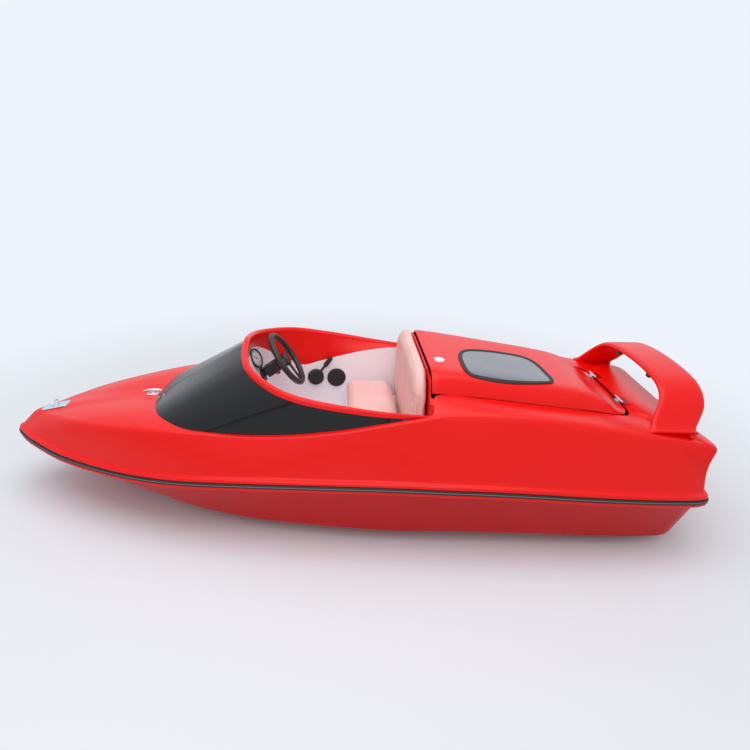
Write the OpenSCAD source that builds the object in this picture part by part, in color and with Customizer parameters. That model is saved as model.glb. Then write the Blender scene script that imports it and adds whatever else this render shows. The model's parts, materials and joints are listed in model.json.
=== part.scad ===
// Two-seat jet boat, full size, millimetres.
// X runs forward to the bow, Y to port, Z up; the keel plank rests on Z = 0.

/* [Shells] */
// moulded wall of the hull and deck
wall = 7; // [5:0.5:12]
// height of the red lips above and below the rubber strip
lip = 10; // [6:1:14]
// rounding where the side turns into the deck top
shoulder_r = 34; // [15:1:60]
// thickness of the tinted screen
screen_t = 7; // [4:0.5:10]

/* [Cockpit] */
// floor height inside the boat
floor_z = 128; // [90:2:180]
// thickness of the white liner
liner_t = 6; // [4:0.5:10]
// half the width of the bench
bench_half = 392; // [340:2:398]
// top of the bench frame below the cushion
bench_z = 345; // [280:1:360]
// height of the cushion top
cushion_z = 465; // [420:1:480]

/* [Helm] */
// steering wheel rim radius
wheel_r = 139; // [125:1:165]
// steering wheel rim tube radius
grip_r = 16; // [10:0.5:18]
// lean of the steering column from level
wheel_tilt = 34.5; // [20:0.5:50]
// wheel centre
wheel_at = [275, -165, 647]; // [-800:1:900]

/* [Hatch] */
// thickness of the hatch lid
lid_t = 7; // [5:0.5:10]
// hinge pin line
hinge_at = [-1327, 0, 591.4]; // [-1400:1:700]
// distance of each hinge from the middle
hinge_y = 155; // [120:5:220]

/* [Arch] */
// thickness of the stern arch
arch_h = 30; // [24:1:40]

/* [Jet] */
// height of the pump line
pump_z = 135; // [120:1:150]
// inside radius of the pump
pump_r = 71; // [60:1:76]
// impeller blades
blades = 4; // [3:1:6]
// stator vanes
vanes = 5; // [4:1:9]
// front of the steering nozzle
nozzle_x = -1566; // [-1580:1:-1560]

/* [Build] */
// which sub-part to draw

/* [Hidden] */
$fn = 48;
gap = 0.3;
e = 0.01;
jet_lean = 16.84;
dash_lean = 19;
wheel_n = [-cos(wheel_tilt), 0, sin(wheel_tilt)];
gauge_at = [428, -117, 665];
gauge_n = [-0.85, 0.26, 0.46];
red = [0.86, 0.09, 0.06];
dark = [0.06, 0.06, 0.07];
white = [0.93, 0.92, 0.90];
steel = [0.72, 0.73, 0.75];
alloy = [0.52, 0.54, 0.56];
pink = [0.93, 0.80, 0.79];

// Guide rows from the bow round the port side to the stern. Columns: rail, shoulder, deck edge
GUIDE = [
    [[1643, 0, 300], [1545, 0, 412], [905, 0, 510]],
    [[1600, 64, 297], [1480, 60, 420], [900, 60, 513]],
    [[1512, 138, 291], [1392, 131, 438], [884, 125, 520]],
    [[1339, 250, 280], [1268, 223, 459], [852, 195, 527]],
    [[1129, 350, 277], [1095, 310, 481], [812, 262, 530]],
    [[926, 430, 284], [915, 379, 503], [764, 333, 528]],
    [[741, 482, 294], [755, 422, 517], [700, 394, 523]],
    [[541, 520, 310], [600, 443, 517], [592, 426, 522]],
    [[380, 543, 322], [400, 468, 518], [400, 450, 524]],
    [[224, 560, 331], [200, 495, 538], [200, 478, 545]],
    [[30, 575, 338], [0, 514, 572], [-20, 498, 583]],
    [[-170, 585, 342], [-170, 514, 604], [-160, 497, 609]],
    [[-310, 590, 342], [-300, 504, 625], [-290, 487, 628]],
    [[-400, 593, 341], [-386, 492, 637], [-380, 472, 641]],
    [[-455, 594, 340], [-440, 485, 643], [-402, 418, 668]],
    [[-520, 595, 339], [-520, 481, 645], [-425, 366, 690]],
    [[-650, 595, 336], [-650, 480, 646], [-600, 356, 676]],
    [[-850, 595, 328], [-850, 480, 637], [-850, 343, 643]],
    [[-1060, 594, 317], [-1060, 480, 611], [-1080, 327, 611]],
    [[-1272, 587, 306], [-1270, 478, 576], [-1240, 314, 586]],
    [[-1450, 573, 296], [-1430, 472, 551], [-1298, 303, 578]],
    [[-1570, 550, 287], [-1560, 465, 526], [-1324, 266, 577]],
    [[-1616, 502, 283], [-1630, 432, 506], [-1331, 195, 580]],
    [[-1629, 330, 281], [-1643, 300, 502], [-1331, 115, 583]],
    [[-1634, 92, 282], [-1644, 85, 500], [-1331, 40, 585]],
    [[-1634, 0, 282], [-1645, 0, 500], [-1331, 0, 585]]];

// Hull rows to match. Columns: chine, pad edge, tuck under the lip, drop under the lip, swell of the deck side
UNDER = [
    [[1400, 0, 168], [560, 0, 0], 16, 30, 0],
    [[1368, 50, 172], [556, 26, 0], 16, 30, 0],
    [[1300, 112, 176], [540, 52, 0], 16, 30, 2],
    [[1172, 206, 178], [505, 78, 0], 17, 30, 3],
    [[1010, 290, 168], [440, 100, 0], 18, 30, 4],
    [[860, 335, 142], [350, 118, 0], 20, 31, 4],
    [[720, 365, 107], [240, 130, 0], 22, 31, 4],
    [[560, 392, 80], [110, 137, 0], 22, 31, 4],
    [[390, 424, 68], [-20, 140, 0], 22, 31, 4],
    [[215, 455, 71], [-130, 140, 0], 22, 31, 4],
    [[30, 478, 70], [-240, 140, 0], 22, 31, 4],
    [[-165, 494, 67], [-350, 140, 0], 22, 31, 4],
    [[-300, 499, 68], [-440, 140, 0], 22, 31, 4],
    [[-400, 502, 70], [-520, 140, 0], 22, 31, 4],
    [[-470, 503, 71], [-590, 140, 0], 22, 31, 4],
    [[-550, 504, 73], [-660, 140, 0], 22, 31, 4],
    [[-680, 505, 73], [-750, 140, 0], 22, 31, 4],
    [[-860, 505, 70], [-880, 140, 0], 22, 31, 3],
    [[-1060, 502, 64], [-1020, 140, 0], 23, 32, 2],
    [[-1250, 497, 56], [-1160, 140, 0], 25, 33, 0],
    [[-1400, 486, 52], [-1280, 140, 0], 28, 34, -4],
    [[-1500, 470, 54], [-1370, 137, 0], 36, 36, -12],
    [[-1540, 405, 54], [-1412, 124, 0], 52, 39, -20],
    [[-1503, 230, 36], [-1426, 92, 0], 66, 40, -24],
    [[-1500, 92, 26], [-1431, 45, 0], 69, 40, -24],
    [[-1499, 0, 24], [-1432, 0, 0], 69, 40, -24]];

// Rows round the cockpit. Columns: rim crest, joint with the liner, liner at the floor, roll size
COCKPIT = [
    [[455, 0, 816], [470, 0, 700], [600, 0, 0], 1.0],
    [[454, 70, 806], [469, 68, 697], [597, 70, 0], 1.0],
    [[450, 130, 796], [465, 125, 689], [588, 130, 0], 1.0],
    [[441, 185, 787], [454, 183, 670], [568, 188, 0], 1.0],
    [[424, 245, 776], [432, 242, 640], [533, 242, 0], 1.0],
    [[388, 308, 763], [394, 296, 600], [478, 288, 0], 1.0],
    [[338, 370, 750], [340, 348, 568], [398, 328, 0], 1.0],
    [[270, 428, 735], [270, 394, 538], [300, 362, 0], 1.0],
    [[195, 462, 720], [198, 422, 515], [210, 385, 0], 1.0],
    [[100, 478, 703], [100, 437, 537], [100, 398, 0], 1.0],
    [[-20, 485, 684], [-20, 442, 570], [-20, 404, 0], 0.95],
    [[-160, 482, 662], [-160, 441, 604], [-160, 404, 0], 0.85],
    [[-290, 471, 646], [-290, 439, 622], [-290, 404, 0], 0.65],
    [[-384, 463, 637], [-384, 437, 619], [-384, 404, 0], 0.45]];

// Hatch stations. Columns: X, half width, seam height, rise of the hood
LID = [
    [-398, 355, 694, 86], [-425, 357, 692, 88], [-500, 355, 685, 86.5], [-600, 350, 676, 81.3],
    [-720, 344, 661, 79.3], [-850, 337, 643, 78.8], [-960, 330, 627, 79.2], [-1080, 321, 611, 76],
    [-1150, 315, 602, 66], [-1200, 311, 593, 54], [-1236, 306, 586, 36], [-1266, 300, 580, 18],
    [-1296, 286, 577, 7], [-1316, 248, 577, 6.5]];

// Arch stations from the port foot to the middle. Columns: Y, Z, middle in X, width along X
ARCH = [
    [436, 562, -1437, 186], [412, 588, -1450, 200], [391, 616, -1467, 206], [366, 652, -1488, 204],
    [335, 684, -1501, 195], [292, 711, -1508, 189], [225, 731, -1511, 186], [115, 743, -1512, 184],
    [0, 747, -1512, 184]];

// How many samples each guide row gets
SUB = [2, 2, 2, 2, 2, 2, 1, 1, 1, 1, 1, 1, 1, 2, 2, 1, 1, 1, 1, 2, 2, 2, 1, 1, 1];

// Curve helpers
function unit(v) = v / max(norm(v), 1e-9);
function mix(a, b, t) = a + (b - a) * t;
function side(p) = [p.x, -p.y, p.z];
function cr(a, b, c, d, t) =
    0.5 * (2 * b + (c - a) * t + (2 * a - 5 * b + 4 * c - d) * t * t + (3 * b - a - 3 * c + d) * t * t * t);
function row(tab, k, mir) =
    let (n = len(tab) - 1)
    k < 0 ? (mir > 0 ? [for (q = tab[-k]) is_list(q) ? side(q) : q] : tab[0])
    : k > n ? (mir > 1 ? [for (q = tab[2 * n - k]) is_list(q) ? side(q) : q] : 2 * tab[n] - tab[n - 1])
    : tab[k];
function at(tab, c, u, mir = 2) =
    let (k = min(floor(u), len(tab) - 2), t = u - k)
    cr(row(tab, k - 1, mir)[c], row(tab, k, mir)[c], row(tab, k + 1, mir)[c], row(tab, k + 2, mir)[c], t);
function samples(sub) = concat([for (i = [0 : len(sub) - 1]) for (k = [0 : sub[i] - 1]) i + k / sub[i]], [len(sub)]);
function lookup_z(tab, c, x) =
    let (k = max([for (i = [0 : len(tab) - 2]) x <= tab[i][0] ? i : 0]),
         t = (x - tab[k][0]) / (tab[k + 1][0] - tab[k][0]))
    cr(row(tab, k - 1, 0)[c], tab[k][c], tab[k + 1][c], row(tab, k + 2, 0)[c], t);

// The full ring from half rows: port rows bow to stern, then the mirrored rows back
function ring(half) =
    let (n = len(half))
    concat(half, [for (i = [n - 2 : -1 : 1]) [for (p = half[i]) side(p)]]);

// Normals of a grid, out of the a-b-c-d face turn; wrap joins the last row to the first
function grid_n(g, i, j, wrap) =
    let (nu = len(g), nv = len(g[0]),
         i0 = wrap ? (i + nu - 1) % nu : max(i - 1, 0),
         i1 = wrap ? (i + 1) % nu : min(i + 1, nu - 1),
         j0 = max(j - 1, 0), j1 = min(j + 1, nv - 1))
    unit(cross(g[i1][j] - g[i0][j], g[i][j1] - g[i][j0]));
function offset_grid(g, d, wrap) =
    [for (i = [0 : len(g) - 1]) [for (j = [0 : len(g[0]) - 1]) g[i][j] + d * grid_n(g, i, j, wrap)]];

// A thin wall between two grids, closed along every free edge; cells in skip are left open
module wall_solid(outer, inner, wrap = false, first = 0, flip = false, skip = []) {
    nu = len(outer);
    nv = len(outer[0]);
    mv = nv - first;
    cells = wrap ? nu : nu - 1;
    function ok(i, j) =
        (wrap || (i >= 0 && i < cells)) && j >= 0 && j < nv - 1
        && len([for (s = skip) if (((i + nu) % nu) >= s[0] && ((i + nu) % nu) <= s[1] && j >= s[2] && j <= s[3]) 1]) == 0;
    function o(i, j) = (i % nu) * nv + j;
    function n(i, j) = nu * nv + (i % nu) * mv + max(j - first, 0);
    function quad(a, b, c, d) = flip ? [[a, b, c], [a, c, d]] : [[c, b, a], [d, c, a]];
    raw = [for (i = [0 : cells - 1]) for (j = [0 : nv - 2]) if (ok(i, j)) each concat(
        quad(o(i, j), o(i + 1, j), o(i + 1, j + 1), o(i, j + 1)),
        j < first ? [] : quad(n(i, j + 1), n(i + 1, j + 1), n(i + 1, j), n(i, j)),
        ok(i, j - 1) ? [] : quad(o(i + 1, j), o(i, j), n(i, j), n(i + 1, j)),
        ok(i, j + 1) ? [] : quad(o(i, j + 1), o(i + 1, j + 1), n(i + 1, j + 1), n(i, j + 1)),
        ok(i + 1, j) ? [] : quad(o(i + 1, j + 1), o(i + 1, j), n(i + 1, j), n(i + 1, j + 1)),
        ok(i - 1, j) ? [] : quad(o(i, j + 1), n(i, j + 1), n(i, j), o(i, j)))];
    tri = [for (f = raw) if (f[0] != f[1] && f[1] != f[2] && f[2] != f[0]) f];
    points = concat([for (r = outer) each r], [for (r = inner) for (j = [first : nv - 1]) r[j]]);
    polyhedron(points, tri);
}

// A closed section carried along a path; rows of section points, ends capped unless wrapped
module sweep_solid(rows, wrap = false, flip = false) {
    nu = len(rows);
    nv = len(rows[0]);
    cells = wrap ? nu : nu - 1;
    function o(i, j) = (i % nu) * nv + (j % nv);
    function quad(a, b, c, d) = flip ? [[a, b, c], [a, c, d]] : [[c, b, a], [d, c, a]];
    function cap(i, turn) = [for (k = [0 : ceil(nv / 2) - 2]) each let (
        a = o(i, k), b = o(i, k + 1), c = o(i, nv - 2 - k), d = o(i, nv - 1 - k),
        q = (b == c) ? [[a, b, d]] : [[a, b, c], [a, c, d]])
        [for (t = q) turn ? [t[2], t[1], t[0]] : t]];
    tri = concat(
        [for (i = [0 : cells - 1]) for (j = [0 : nv - 1]) each quad(o(i, j), o(i + 1, j), o(i + 1, j + 1), o(i, j + 1))],
        wrap ? [] : cap(0, !flip), wrap ? [] : cap(nu - 1, flip));
    polyhedron([for (r = rows) each r], tri);
}

// Rows of the shells
U = samples(SUB);
rail_half = [for (u = U) at(GUIDE, 0, u)];
rail_out = [for (i = [0 : len(U) - 1])
    let (a = i == 0 ? side(rail_half[1]) : rail_half[i - 1],
         b = i == len(U) - 1 ? side(rail_half[i - 1]) : rail_half[i + 1],
         t = unit([b.x - a.x, b.y - a.y, 0]))
    [t.y, -t.x, 0]];

function deck_row(i) =
    let (u = U[i], r = rail_half[i], n = rail_out[i],
         s = at(GUIDE, 1, u), d = at(GUIDE, 2, u), swell = at(UNDER, 4, u),
         base = r - n * 19 + [0, 0, 32],
         mid = mix(base, s, 0.5) + n * swell,
         da = min(shoulder_r, 0.4 * norm(s - mid)), db = min(shoulder_r, 0.75 * norm(d - s)),
         a = s + unit(mid - s) * da, b = s + unit(d - s) * db,
         up = [0, 0, 0.03 * norm(d - s) * (abs(s.x) > 1600 ? 3 : 1)])
    [r - n * 27 + [0, 0, lip], r - n * 3 + [0, 0, lip], r + [0, 0, lip + 3], r + [0, 0, 22],
     r - n * 5 + [0, 0, 28], base, mid, a, (a + 2 * s + b) / 4, b, mix(b, d, 0.5) + up, d];
deck_outer = ring([for (i = [0 : len(U) - 1]) deck_row(i)]);

function hull_row(i) =
    let (u = U[i], r = rail_half[i], n = rail_out[i],
         c = at(UNDER, 0, u), p = at(UNDER, 1, u),
         h = r - n * at(UNDER, 2, u) - [0, 0, at(UNDER, 3, u)],
         ca = mix(c, h, 0.10), cb = mix(c, p, 0.07))
    [r - n * 27 - [0, 0, lip], r - n * 3 - [0, 0, lip], r - [0, 0, lip + 3], r - [0, 0, 22],
     r - n * 5 - [0, 0, 27], h, mix(h, c, 0.08), mix(h, c, 0.5), ca, cb, mix(cb, p, 0.5), p];
hull_outer = ring([for (i = [0 : len(U) - 1]) hull_row(i)]);

hull_skin = offset_grid(hull_outer, wall, true);
hull_inner = [for (i = [0 : len(hull_outer) - 1])
    [for (j = [0 : 11]) j < 11 ? hull_skin[i][j] : hull_outer[i][j] + [0, 0, wall]]];

// The hull ring is cut at both stern corners: the sides and bow in one run, the transom in the other
corner = len(U) - 4;
function part_of(g, a, b) = [for (i = [a : b]) g[i % len(g)]];

module hull_shell() {
    a = len(hull_outer) - corner;
    b = len(hull_outer) + corner;
    color(red) wall_solid(part_of(hull_outer, a, b), part_of(hull_inner, a, b), first = 5, flip = true);
}

module transom_panel() {
    b = len(hull_outer) - corner;
    color(red) wall_solid(part_of(hull_outer, corner, b), part_of(hull_inner, corner, b), first = 5,
        flip = true, skip = [[2, 3, 6, 7]]);
}

module keel_plank() {
    pts = [for (r = hull_outer) let (p = r[11]) [p.x, p.y]];
    color(dark) difference() {
        linear_extrude(10) offset(delta = -gap) polygon(pts);
        translate([-1130, -84, -1]) cube([300, 168, 12]);
    }
}

module deck_shell() {
    color(red) wall_solid(deck_outer, offset_grid(deck_outer, -wall, true), wrap = true, first = 5);
}

// Black rubber between the lips, a little proud of them
module rub_strip() {
    half = [for (i = [0 : len(U) - 1]) let (r = rail_half[i], n = rail_out[i])
        [r - n * 26 - [0, 0, lip - 2 * gap], r + n * 1 - [0, 0, lip - 2 * gap], r + n * 4.5 - [0, 0, 6],
         r + n * 5.5, r + n * 4.5 + [0, 0, 6], r + n * 1 + [0, 0, lip - 2 * gap], r - n * 26 + [0, 0, lip - 2 * gap]]];
    color(dark) sweep_solid(ring(half), wrap = true);
}

// Cockpit rows, port front to aft, then both sides joined into one run from starboard aft to port aft
CU = [for (i = [0 : 26]) i / 2];
function run(half) =
    let (n = len(half))
    concat([for (i = [n - 1 : -1 : 1]) [for (p = half[i]) side(p)]], half);
rim_half = [for (u = CU) at(COCKPIT, 0, u, 1)];
rim_out = [for (i = [0 : len(CU) - 1])
    let (a = i == 0 ? side(rim_half[1]) : rim_half[i - 1],
         b = i == len(CU) - 1 ? rim_half[i] : rim_half[i + 1],
         t = unit([b.x - a.x, b.y - a.y, 0]))
    [t.y, -t.x, 0]];

// The screen runs from the deck edge to the outside of the rim roll
function screen_row(i) =
    let (u = CU[i], k = at(COCKPIT, 3, u, 1), n = rim_out[i],
         top = rim_half[i] + n * 14.5 * k - [0, 0, 25.9 * k + 0.3],
         low = at(GUIDE, 2, u), lift = [0, 0, 0.06 * norm(top - low)] + n * 0.04 * norm(top - low))
    [low + unit(top - low) * 3.2, mix(low, top, 0.33) + lift, mix(low, top, 0.66) + lift, top];
screen_last = 24;
screen_outer = run([for (i = [0 : screen_last]) screen_row(i)]);

module windscreen() {
    // the wall thins out where the screen runs down to its two tails
    thin = [for (r = screen_outer) min(screen_t, 0.4 * norm(r[3] - r[0]))];
    inner = [for (i = [0 : len(screen_outer) - 1])
        [for (j = [0 : 3]) screen_outer[i][j] - thin[i] * grid_n(screen_outer, i, j, false)]];
    color(dark) wall_solid(screen_outer, inner);
}

// Rolled rim and the inner wall below it
function coaming_row(i) =
    let (u = CU[i], k = at(COCKPIT, 3, u, 1), n = rim_out[i], c = rim_half[i], b = at(COCKPIT, 1, u, 1) + [0, 0, gap])
    [c + n * (14.5 * k) - [0, 0, 25 * k], c + n * 13 * k - [0, 0, 9 * k], c + n * 7 * k - [0, 0, 2 * k], c,
     c - n * 8 * k - [0, 0, 2 * k], c - n * 15 * k - [0, 0, 9 * k], c - n * 18 * k - [0, 0, 20 * k],
     b, b + n * liner_t, c - n * 8 * k - [0, 0, 26 * k], c + n * 6 * k - [0, 0, 26 * k]];
coaming_rows = run([for (i = [0 : len(CU) - 1]) coaming_row(i)]);

module cockpit_coaming() {
    color(red) sweep_solid(coaming_rows);
}

// White tub: side walls and floor folded together at the front
function liner_row(i) =
    let (u = CU[i], b = at(COCKPIT, 1, u, 1), f0 = at(COCKPIT, 2, u, 1), f = [f0.x, f0.y, floor_z],
         w = unit(f - b), q = unit([-f.x + 100, -f.y, 0]))
    [b, mix(b, f, 0.5), f - w * 45, f - w * 12 + q * 12, f + q * 45];
liner_rows = run([for (i = [0 : len(CU) - 1]) liner_row(i)]);

module cockpit_liner() {
    n = len(CU);
    skin = offset_grid(liner_rows, -liner_t, false);
    out = concat([for (i = [n - 1 : -1 : 1]) side(rim_out[i])], rim_out);
    back = [for (i = [0 : len(skin) - 1]) concat([liner_rows[i][0] + out[i] * liner_t], [for (j = [1 : 4]) skin[i][j]])];
    color(white) wall_solid(liner_rows, back);
    color(white) translate([0, 0, floor_z - liner_t]) linear_extrude(liner_t)
        offset(delta = -gap) polygon([for (r = liner_rows) [r[4].x, r[4].y]]);
}

function lid_top(x) = lookup_z(LID, 2, x) + lookup_z(LID, 3, x);

module engine_bulkhead() {
    color(white) translate([-391.6, 0, 0]) rotate([90, 0, 90]) linear_extrude(7)
        polygon([[-408, floor_z - 6], [408, floor_z - 6], [436, 560], [418, 630], [352, 690], [310, 740],
            [200, 752], [0, 754], [-200, 752], [-310, 740], [-352, 690], [-418, 630], [-436, 560]]);
}

module dashboard() {
    // columns: height, half width
    shape = [[693, 126], [672, 172], [640, 206], [600, 240], [550, 277], [500, 301], [466, 313]];
    s = 1 / cos(dash_lean);
    color(white) translate([455.4, 0, 697]) rotate([0, dash_lean, 0]) rotate([90, 0, -90]) translate([0, 0, -8])
        linear_extrude(8) polygon(concat([for (q = shape) [q[1], (q[0] - 697) * s]],
            [for (k = [len(shape) - 1 : -1 : 0]) [-shape[k][1], (shape[k][0] - 697) * s]]));
}

module helm_axis(d) {
    translate(wheel_at + wheel_n * d) rotate([0, -90 + wheel_tilt, 0]) children();
}

// A spot on the face of the dashboard, local Z towards the driver
module on_dash(y, z) {
    translate([455.4 - (697 - z) * tan(dash_lean), y, z]) rotate([0, -90 + dash_lean, 0]) children();
}

// A spot on the starboard wall of the tub, local Z into the cockpit
module on_wall(x, y, z, turn) {
    translate([x, y, z]) rotate([0, 0, turn]) rotate([-90 + 5.3, 0, 0]) children();
}

// Turns local Z to a direction
module face(n) {
    rotate([0, acos(n.z / norm(n)), atan2(n.y, n.x)]) children();
}

module gauge_pod() {
    color(dark) difference() {
        hull() {
            on_dash(-122, 656) translate([0, 0, gap]) cylinder(h = 0.5, r = 36);
            translate(gauge_at) face(gauge_n) translate([0, 0, -6]) cylinder(h = 6, r = 52);
        }
        on_dash(-122, 656) translate([-150, -150, -60]) cube([300, 300, 60 + gap]);
    }
}

module gauge_lens() {
    color([0.75, 0.78, 0.8]) translate(gauge_at) face(gauge_n) translate([0, 0, gap]) cylinder(h = 3, r = 43);
}

module steering_column() {
    color(dark) union() {
        helm_axis(-154) cylinder(h = 127.4, r = 20);
        helm_axis(-128) linear_extrude(72) offset(r = 10) square(40, center = true);
        on_dash(-165, 556.4) translate([0, 0, gap]) cylinder(h = 14, r = 38);
    }
}

module steering_wheel() {
    color(dark) helm_axis(0) union() {
        rotate_extrude() translate([wheel_r, 0]) circle(grip_r, $fn = 24);
        translate([0, 0, -26]) cylinder(h = 34, r = 36);
        for (a = [80, 180, 280]) rotate(a) translate([20, -17, -9]) cube([wheel_r - 20, 34, 9]);
    }
}

module stop_switch() {
    color([0.8, 0.1, 0.1]) helm_axis(-82) rotate([0, -90, 0]) translate([0, 0, 30.3]) cylinder(h = 14, r = 11);
}

module control_base() {
    color(dark) on_wall(131, -423.4, 443, 5.3) cylinder(h = 18, r = 46);
}

module control_lever() {
    color(dark) on_wall(131, -423.4, 443, 5.3) translate([0, 0, 18 + gap]) rotate(-36) union() {
        cylinder(h = 8, r = 22);
        translate([-6, -100, 0]) cube([12, 100, 8]);
        hull() for (y = [-92, -138]) translate([0, y, 6]) sphere(13, $fn = 16);
    }
}

module access_plate() {
    color(dark) on_wall(12, -429.1, 438, 0.65) cylinder(h = 8, r = 53);
}

module bench_form(t, len) {
    translate([-384, 0, floor_z + gap + t]) rotate([90, 0, 90]) linear_extrude(len) polygon([
        [-350 + t, 0], [350 - t, 0], [bench_half - t, 60], [bench_half - t, bench_z - floor_z - 2 * t],
        [-bench_half + t, bench_z - floor_z - 2 * t], [-bench_half + t, 60]]);
}

module seat_base() {
    color(white) difference() {
        bench_form(0, 340);
        translate([6, 0, 0]) bench_form(6, 328);
    }
}

module round_box(size, r) {
    hull() for (x = [r, size.x - r]) for (y = [r, size.y - r]) for (z = [r, size.z - r])
        translate([x, y, z]) sphere(r / cos(15), $fn = 12);
}

module seat_cushion() {
    color(pink) translate([-313.7, -388, bench_z + 2 * gap]) round_box([279.7, 776, cushion_z - bench_z], 38);
}

// Backrest outline seen from the front, then layers that round its edges and thin its top
module back_layer(x, t, inset, top) {
    translate([x, 0, 0]) rotate([90, 0, 90]) linear_extrude(t) offset(delta = -inset) polygon([
        [-388, bench_z + 2 * gap], [388, bench_z + 2 * gap], [388, 600], [366, top - 72], [318, top],
        [-318, top], [-366, top - 72], [-388, 600]]);
}

module seat_back() {
    color(pink) hull() {
        back_layer(-384.3, 2, 12, 764);
        back_layer(-374, 16, 0, 764);
        back_layer(-340, 12, 2, 752);
        back_layer(-316.6, 2, 14, 728);
    }
}

// Hood of the hatch: a flat crown with steep sides over the seam line
function lid_point(k, v) = let (s = LID[k], q = abs(v)) [s[0], v * s[1], s[2] + s[3] * (1 - pow(q, 20))];
LV = [-1, -0.993, -0.977, -0.95, -0.91, -0.85, -0.7, 0, 0.7, 0.85, 0.91, 0.95, 0.977, 0.993, 1];
lid_outer = [for (k = [0 : len(LID) - 1]) [for (v = LV) lid_point(k, v)]];

module hatch_lid() {
    color(red) wall_solid(lid_outer, offset_grid(lid_outer, lid_t, false), flip = true);
}

// Flat tilted plane on the hood crown, for the pieces that lie on it
module on_hood(x0, x1, lift) {
    z0 = lid_top(x0);
    z1 = lid_top(x1);
    translate([x0, 0, z0 + lift]) rotate([0, -atan2(z0 - z1, x0 - x1), 0]) children();
}

// The window lies towards port. Columns: X, Y of its corners before rounding
PANE = [[-588, 8], [-700, -90], [-930, -146], [-998, -42], [-976, 200], [-850, 272], [-700, 283], [-595, 255]];

module window_shape(grow) {
    offset(r = 26 + grow) offset(delta = -26) polygon([for (q = PANE) [q.x + 560, q.y]]);
}

module hatch_gasket() {
    color(dark) on_hood(-560, -1000, 0.9) linear_extrude(7) difference() {
        window_shape(8);
        window_shape(-8);
    }
}

module hatch_window() {
    color([0.45, 0.46, 0.47]) on_hood(-560, -1000, 1.2) linear_extrude(4) window_shape(-8 - gap);
}

module hatch_cap() {
    color(white) translate([-452, 170, lid_top(-452) - 0.4]) rotate([0, -6.5, 0]) cylinder(h = 9, r = 24);
}

// Slim hinges: leaves laid on the deck and on the hatch, knuckles in turn along the pin
module hinge_leaf(reach) {
    translate([min(reach, 0), -38, -2.5]) cube([abs(reach), 76, 2.5]);
}

module hinge_fixed() {
    color(steel) for (s = [-1, 1]) translate([hinge_at.x, s * hinge_y, hinge_at.z]) union() {
        for (y = [-38, 16]) translate([0, y, 0]) rotate([-90, 0, 0]) cylinder(h = 22, r = 5.5);
        translate([0, -38, 0]) rotate([-90, 0, 0]) cylinder(h = 76, r = 2.5);
        for (y = [-38, 16]) translate([-10, y, -5.5]) cube([10, 22, 4]);
        translate([-8, 0, -5.4]) hinge_leaf(-32);
    }
}

module hinge_moving() {
    color(steel) for (s = [-1, 1]) translate([hinge_at.x, s * hinge_y, hinge_at.z]) difference() {
        union() {
            translate([0, -15, 0]) rotate([-90, 0, 0]) cylinder(h = 30, r = 5.5);
            translate([0, -15, -5.5]) cube([14, 30, 4]);
            translate([12, 0, -4.4]) hinge_leaf(18);
        }
        translate([0, -20, 0]) rotate([-90, 0, 0]) cylinder(h = 40, r = 2.9);
    }
}

// Height of the deck skin at a place in plan
function tri_z(a, b, c, x, y) =
    let (k = (b.y - c.y) * (a.x - c.x) + (c.x - b.x) * (a.y - c.y),
         u = abs(k) < 1e-6 ? -1 : ((b.y - c.y) * (x - c.x) + (c.x - b.x) * (y - c.y)) / k,
         v = abs(k) < 1e-6 ? -1 : ((c.y - a.y) * (x - c.x) + (a.x - c.x) * (y - c.y)) / k)
    min(u, v, 1 - u - v) < -1e-6 ? [] : [u * a.z + v * b.z + (1 - u - v) * c.z];
function deck_z(x, y) =
    let (g = deck_outer, n = len(g))
    max([for (i = [0 : n - 1]) for (j = [6 : 10])
        let (a = g[i][j], b = g[(i + 1) % n][j], c = g[(i + 1) % n][j + 1], d = g[i][j + 1])
        each concat(tri_z(a, b, c, x, y), tri_z(a, c, d, x, y))]);

// Roll bar over the stern
function arch_row(k) =
    let (s = ARCH[k], a = ARCH[max(k - 1, 0)], b = ARCH[min(k + 1, len(ARCH) - 1)],
         t = unit([0, b[0] - a[0], b[1] - a[1]]), n = k == len(ARCH) - 1 ? [0, 0, 1] : [0, -t.z, t.y] * -1,
         c = [s[2], s[0], s[1]], w = s[3] / 2, h = arch_h / 2,
         rim = [[w, 7], [w - 12, h], [w / 2, h], [0, h], [-w / 2, h], [-w + 12, h], [-w, 7]],
         loop = concat(rim, [for (i = [6 : -1 : 0]) [rim[i].x, -rim[i].y]]))
    [for (q = loop) let (p = c + [q.x, 0, 0] + (k > 0 ? n * q.y : [0, q.y / n.y, 0]))
        k > 0 ? p : [p.x, p.y, deck_z(p.x, p.y) + 3]];
arch_rows = let (half = [for (k = [0 : len(ARCH) - 1]) arch_row(k)], n = len(half))
    concat(half, [for (i = [n - 2 : -1 : 0]) [for (p = half[i]) side(p)]]);

module stern_arch() {
    color(red) sweep_solid(arch_rows, flip = true);
}

// Two small holders under the front edge of the arch
module arch_clips() {
    color(dark) for (s = [-1, 1]) translate([-1442, s * 155, 738.6]) rotate([-s * 6.2, 0, 0])
        translate([-10, -12, -arch_h / 2 - 14.4]) cube([20, 24, 14]);
}

module bow_handle() {
    color(steel) translate([1440, 0, 433.5]) rotate([0, 12.3, 0]) union() {
        translate([-70, -45, 0]) cube([140, 90, 5]);
        for (y = [-24, 24]) translate([0, y, 4]) cylinder(h = 22, r = 5);
        translate([0, -32, 27]) rotate([-90, 0, 0]) cylinder(h = 64, r = 6.5);
    }
}

module deck_cleat() {
    color(steel) translate([940, 0, 507.4]) rotate([0, 5, 0]) union() {
        translate([-32, -18, 0]) cube([64, 36, 5]);
        for (x = [-14, 14]) translate([x, 0, 5 - e]) cylinder(h = 16, r = 6);
        translate([-50, 0, 24]) rotate([0, 90, 0]) cylinder(h = 100, r = 7);
    }
}

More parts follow.
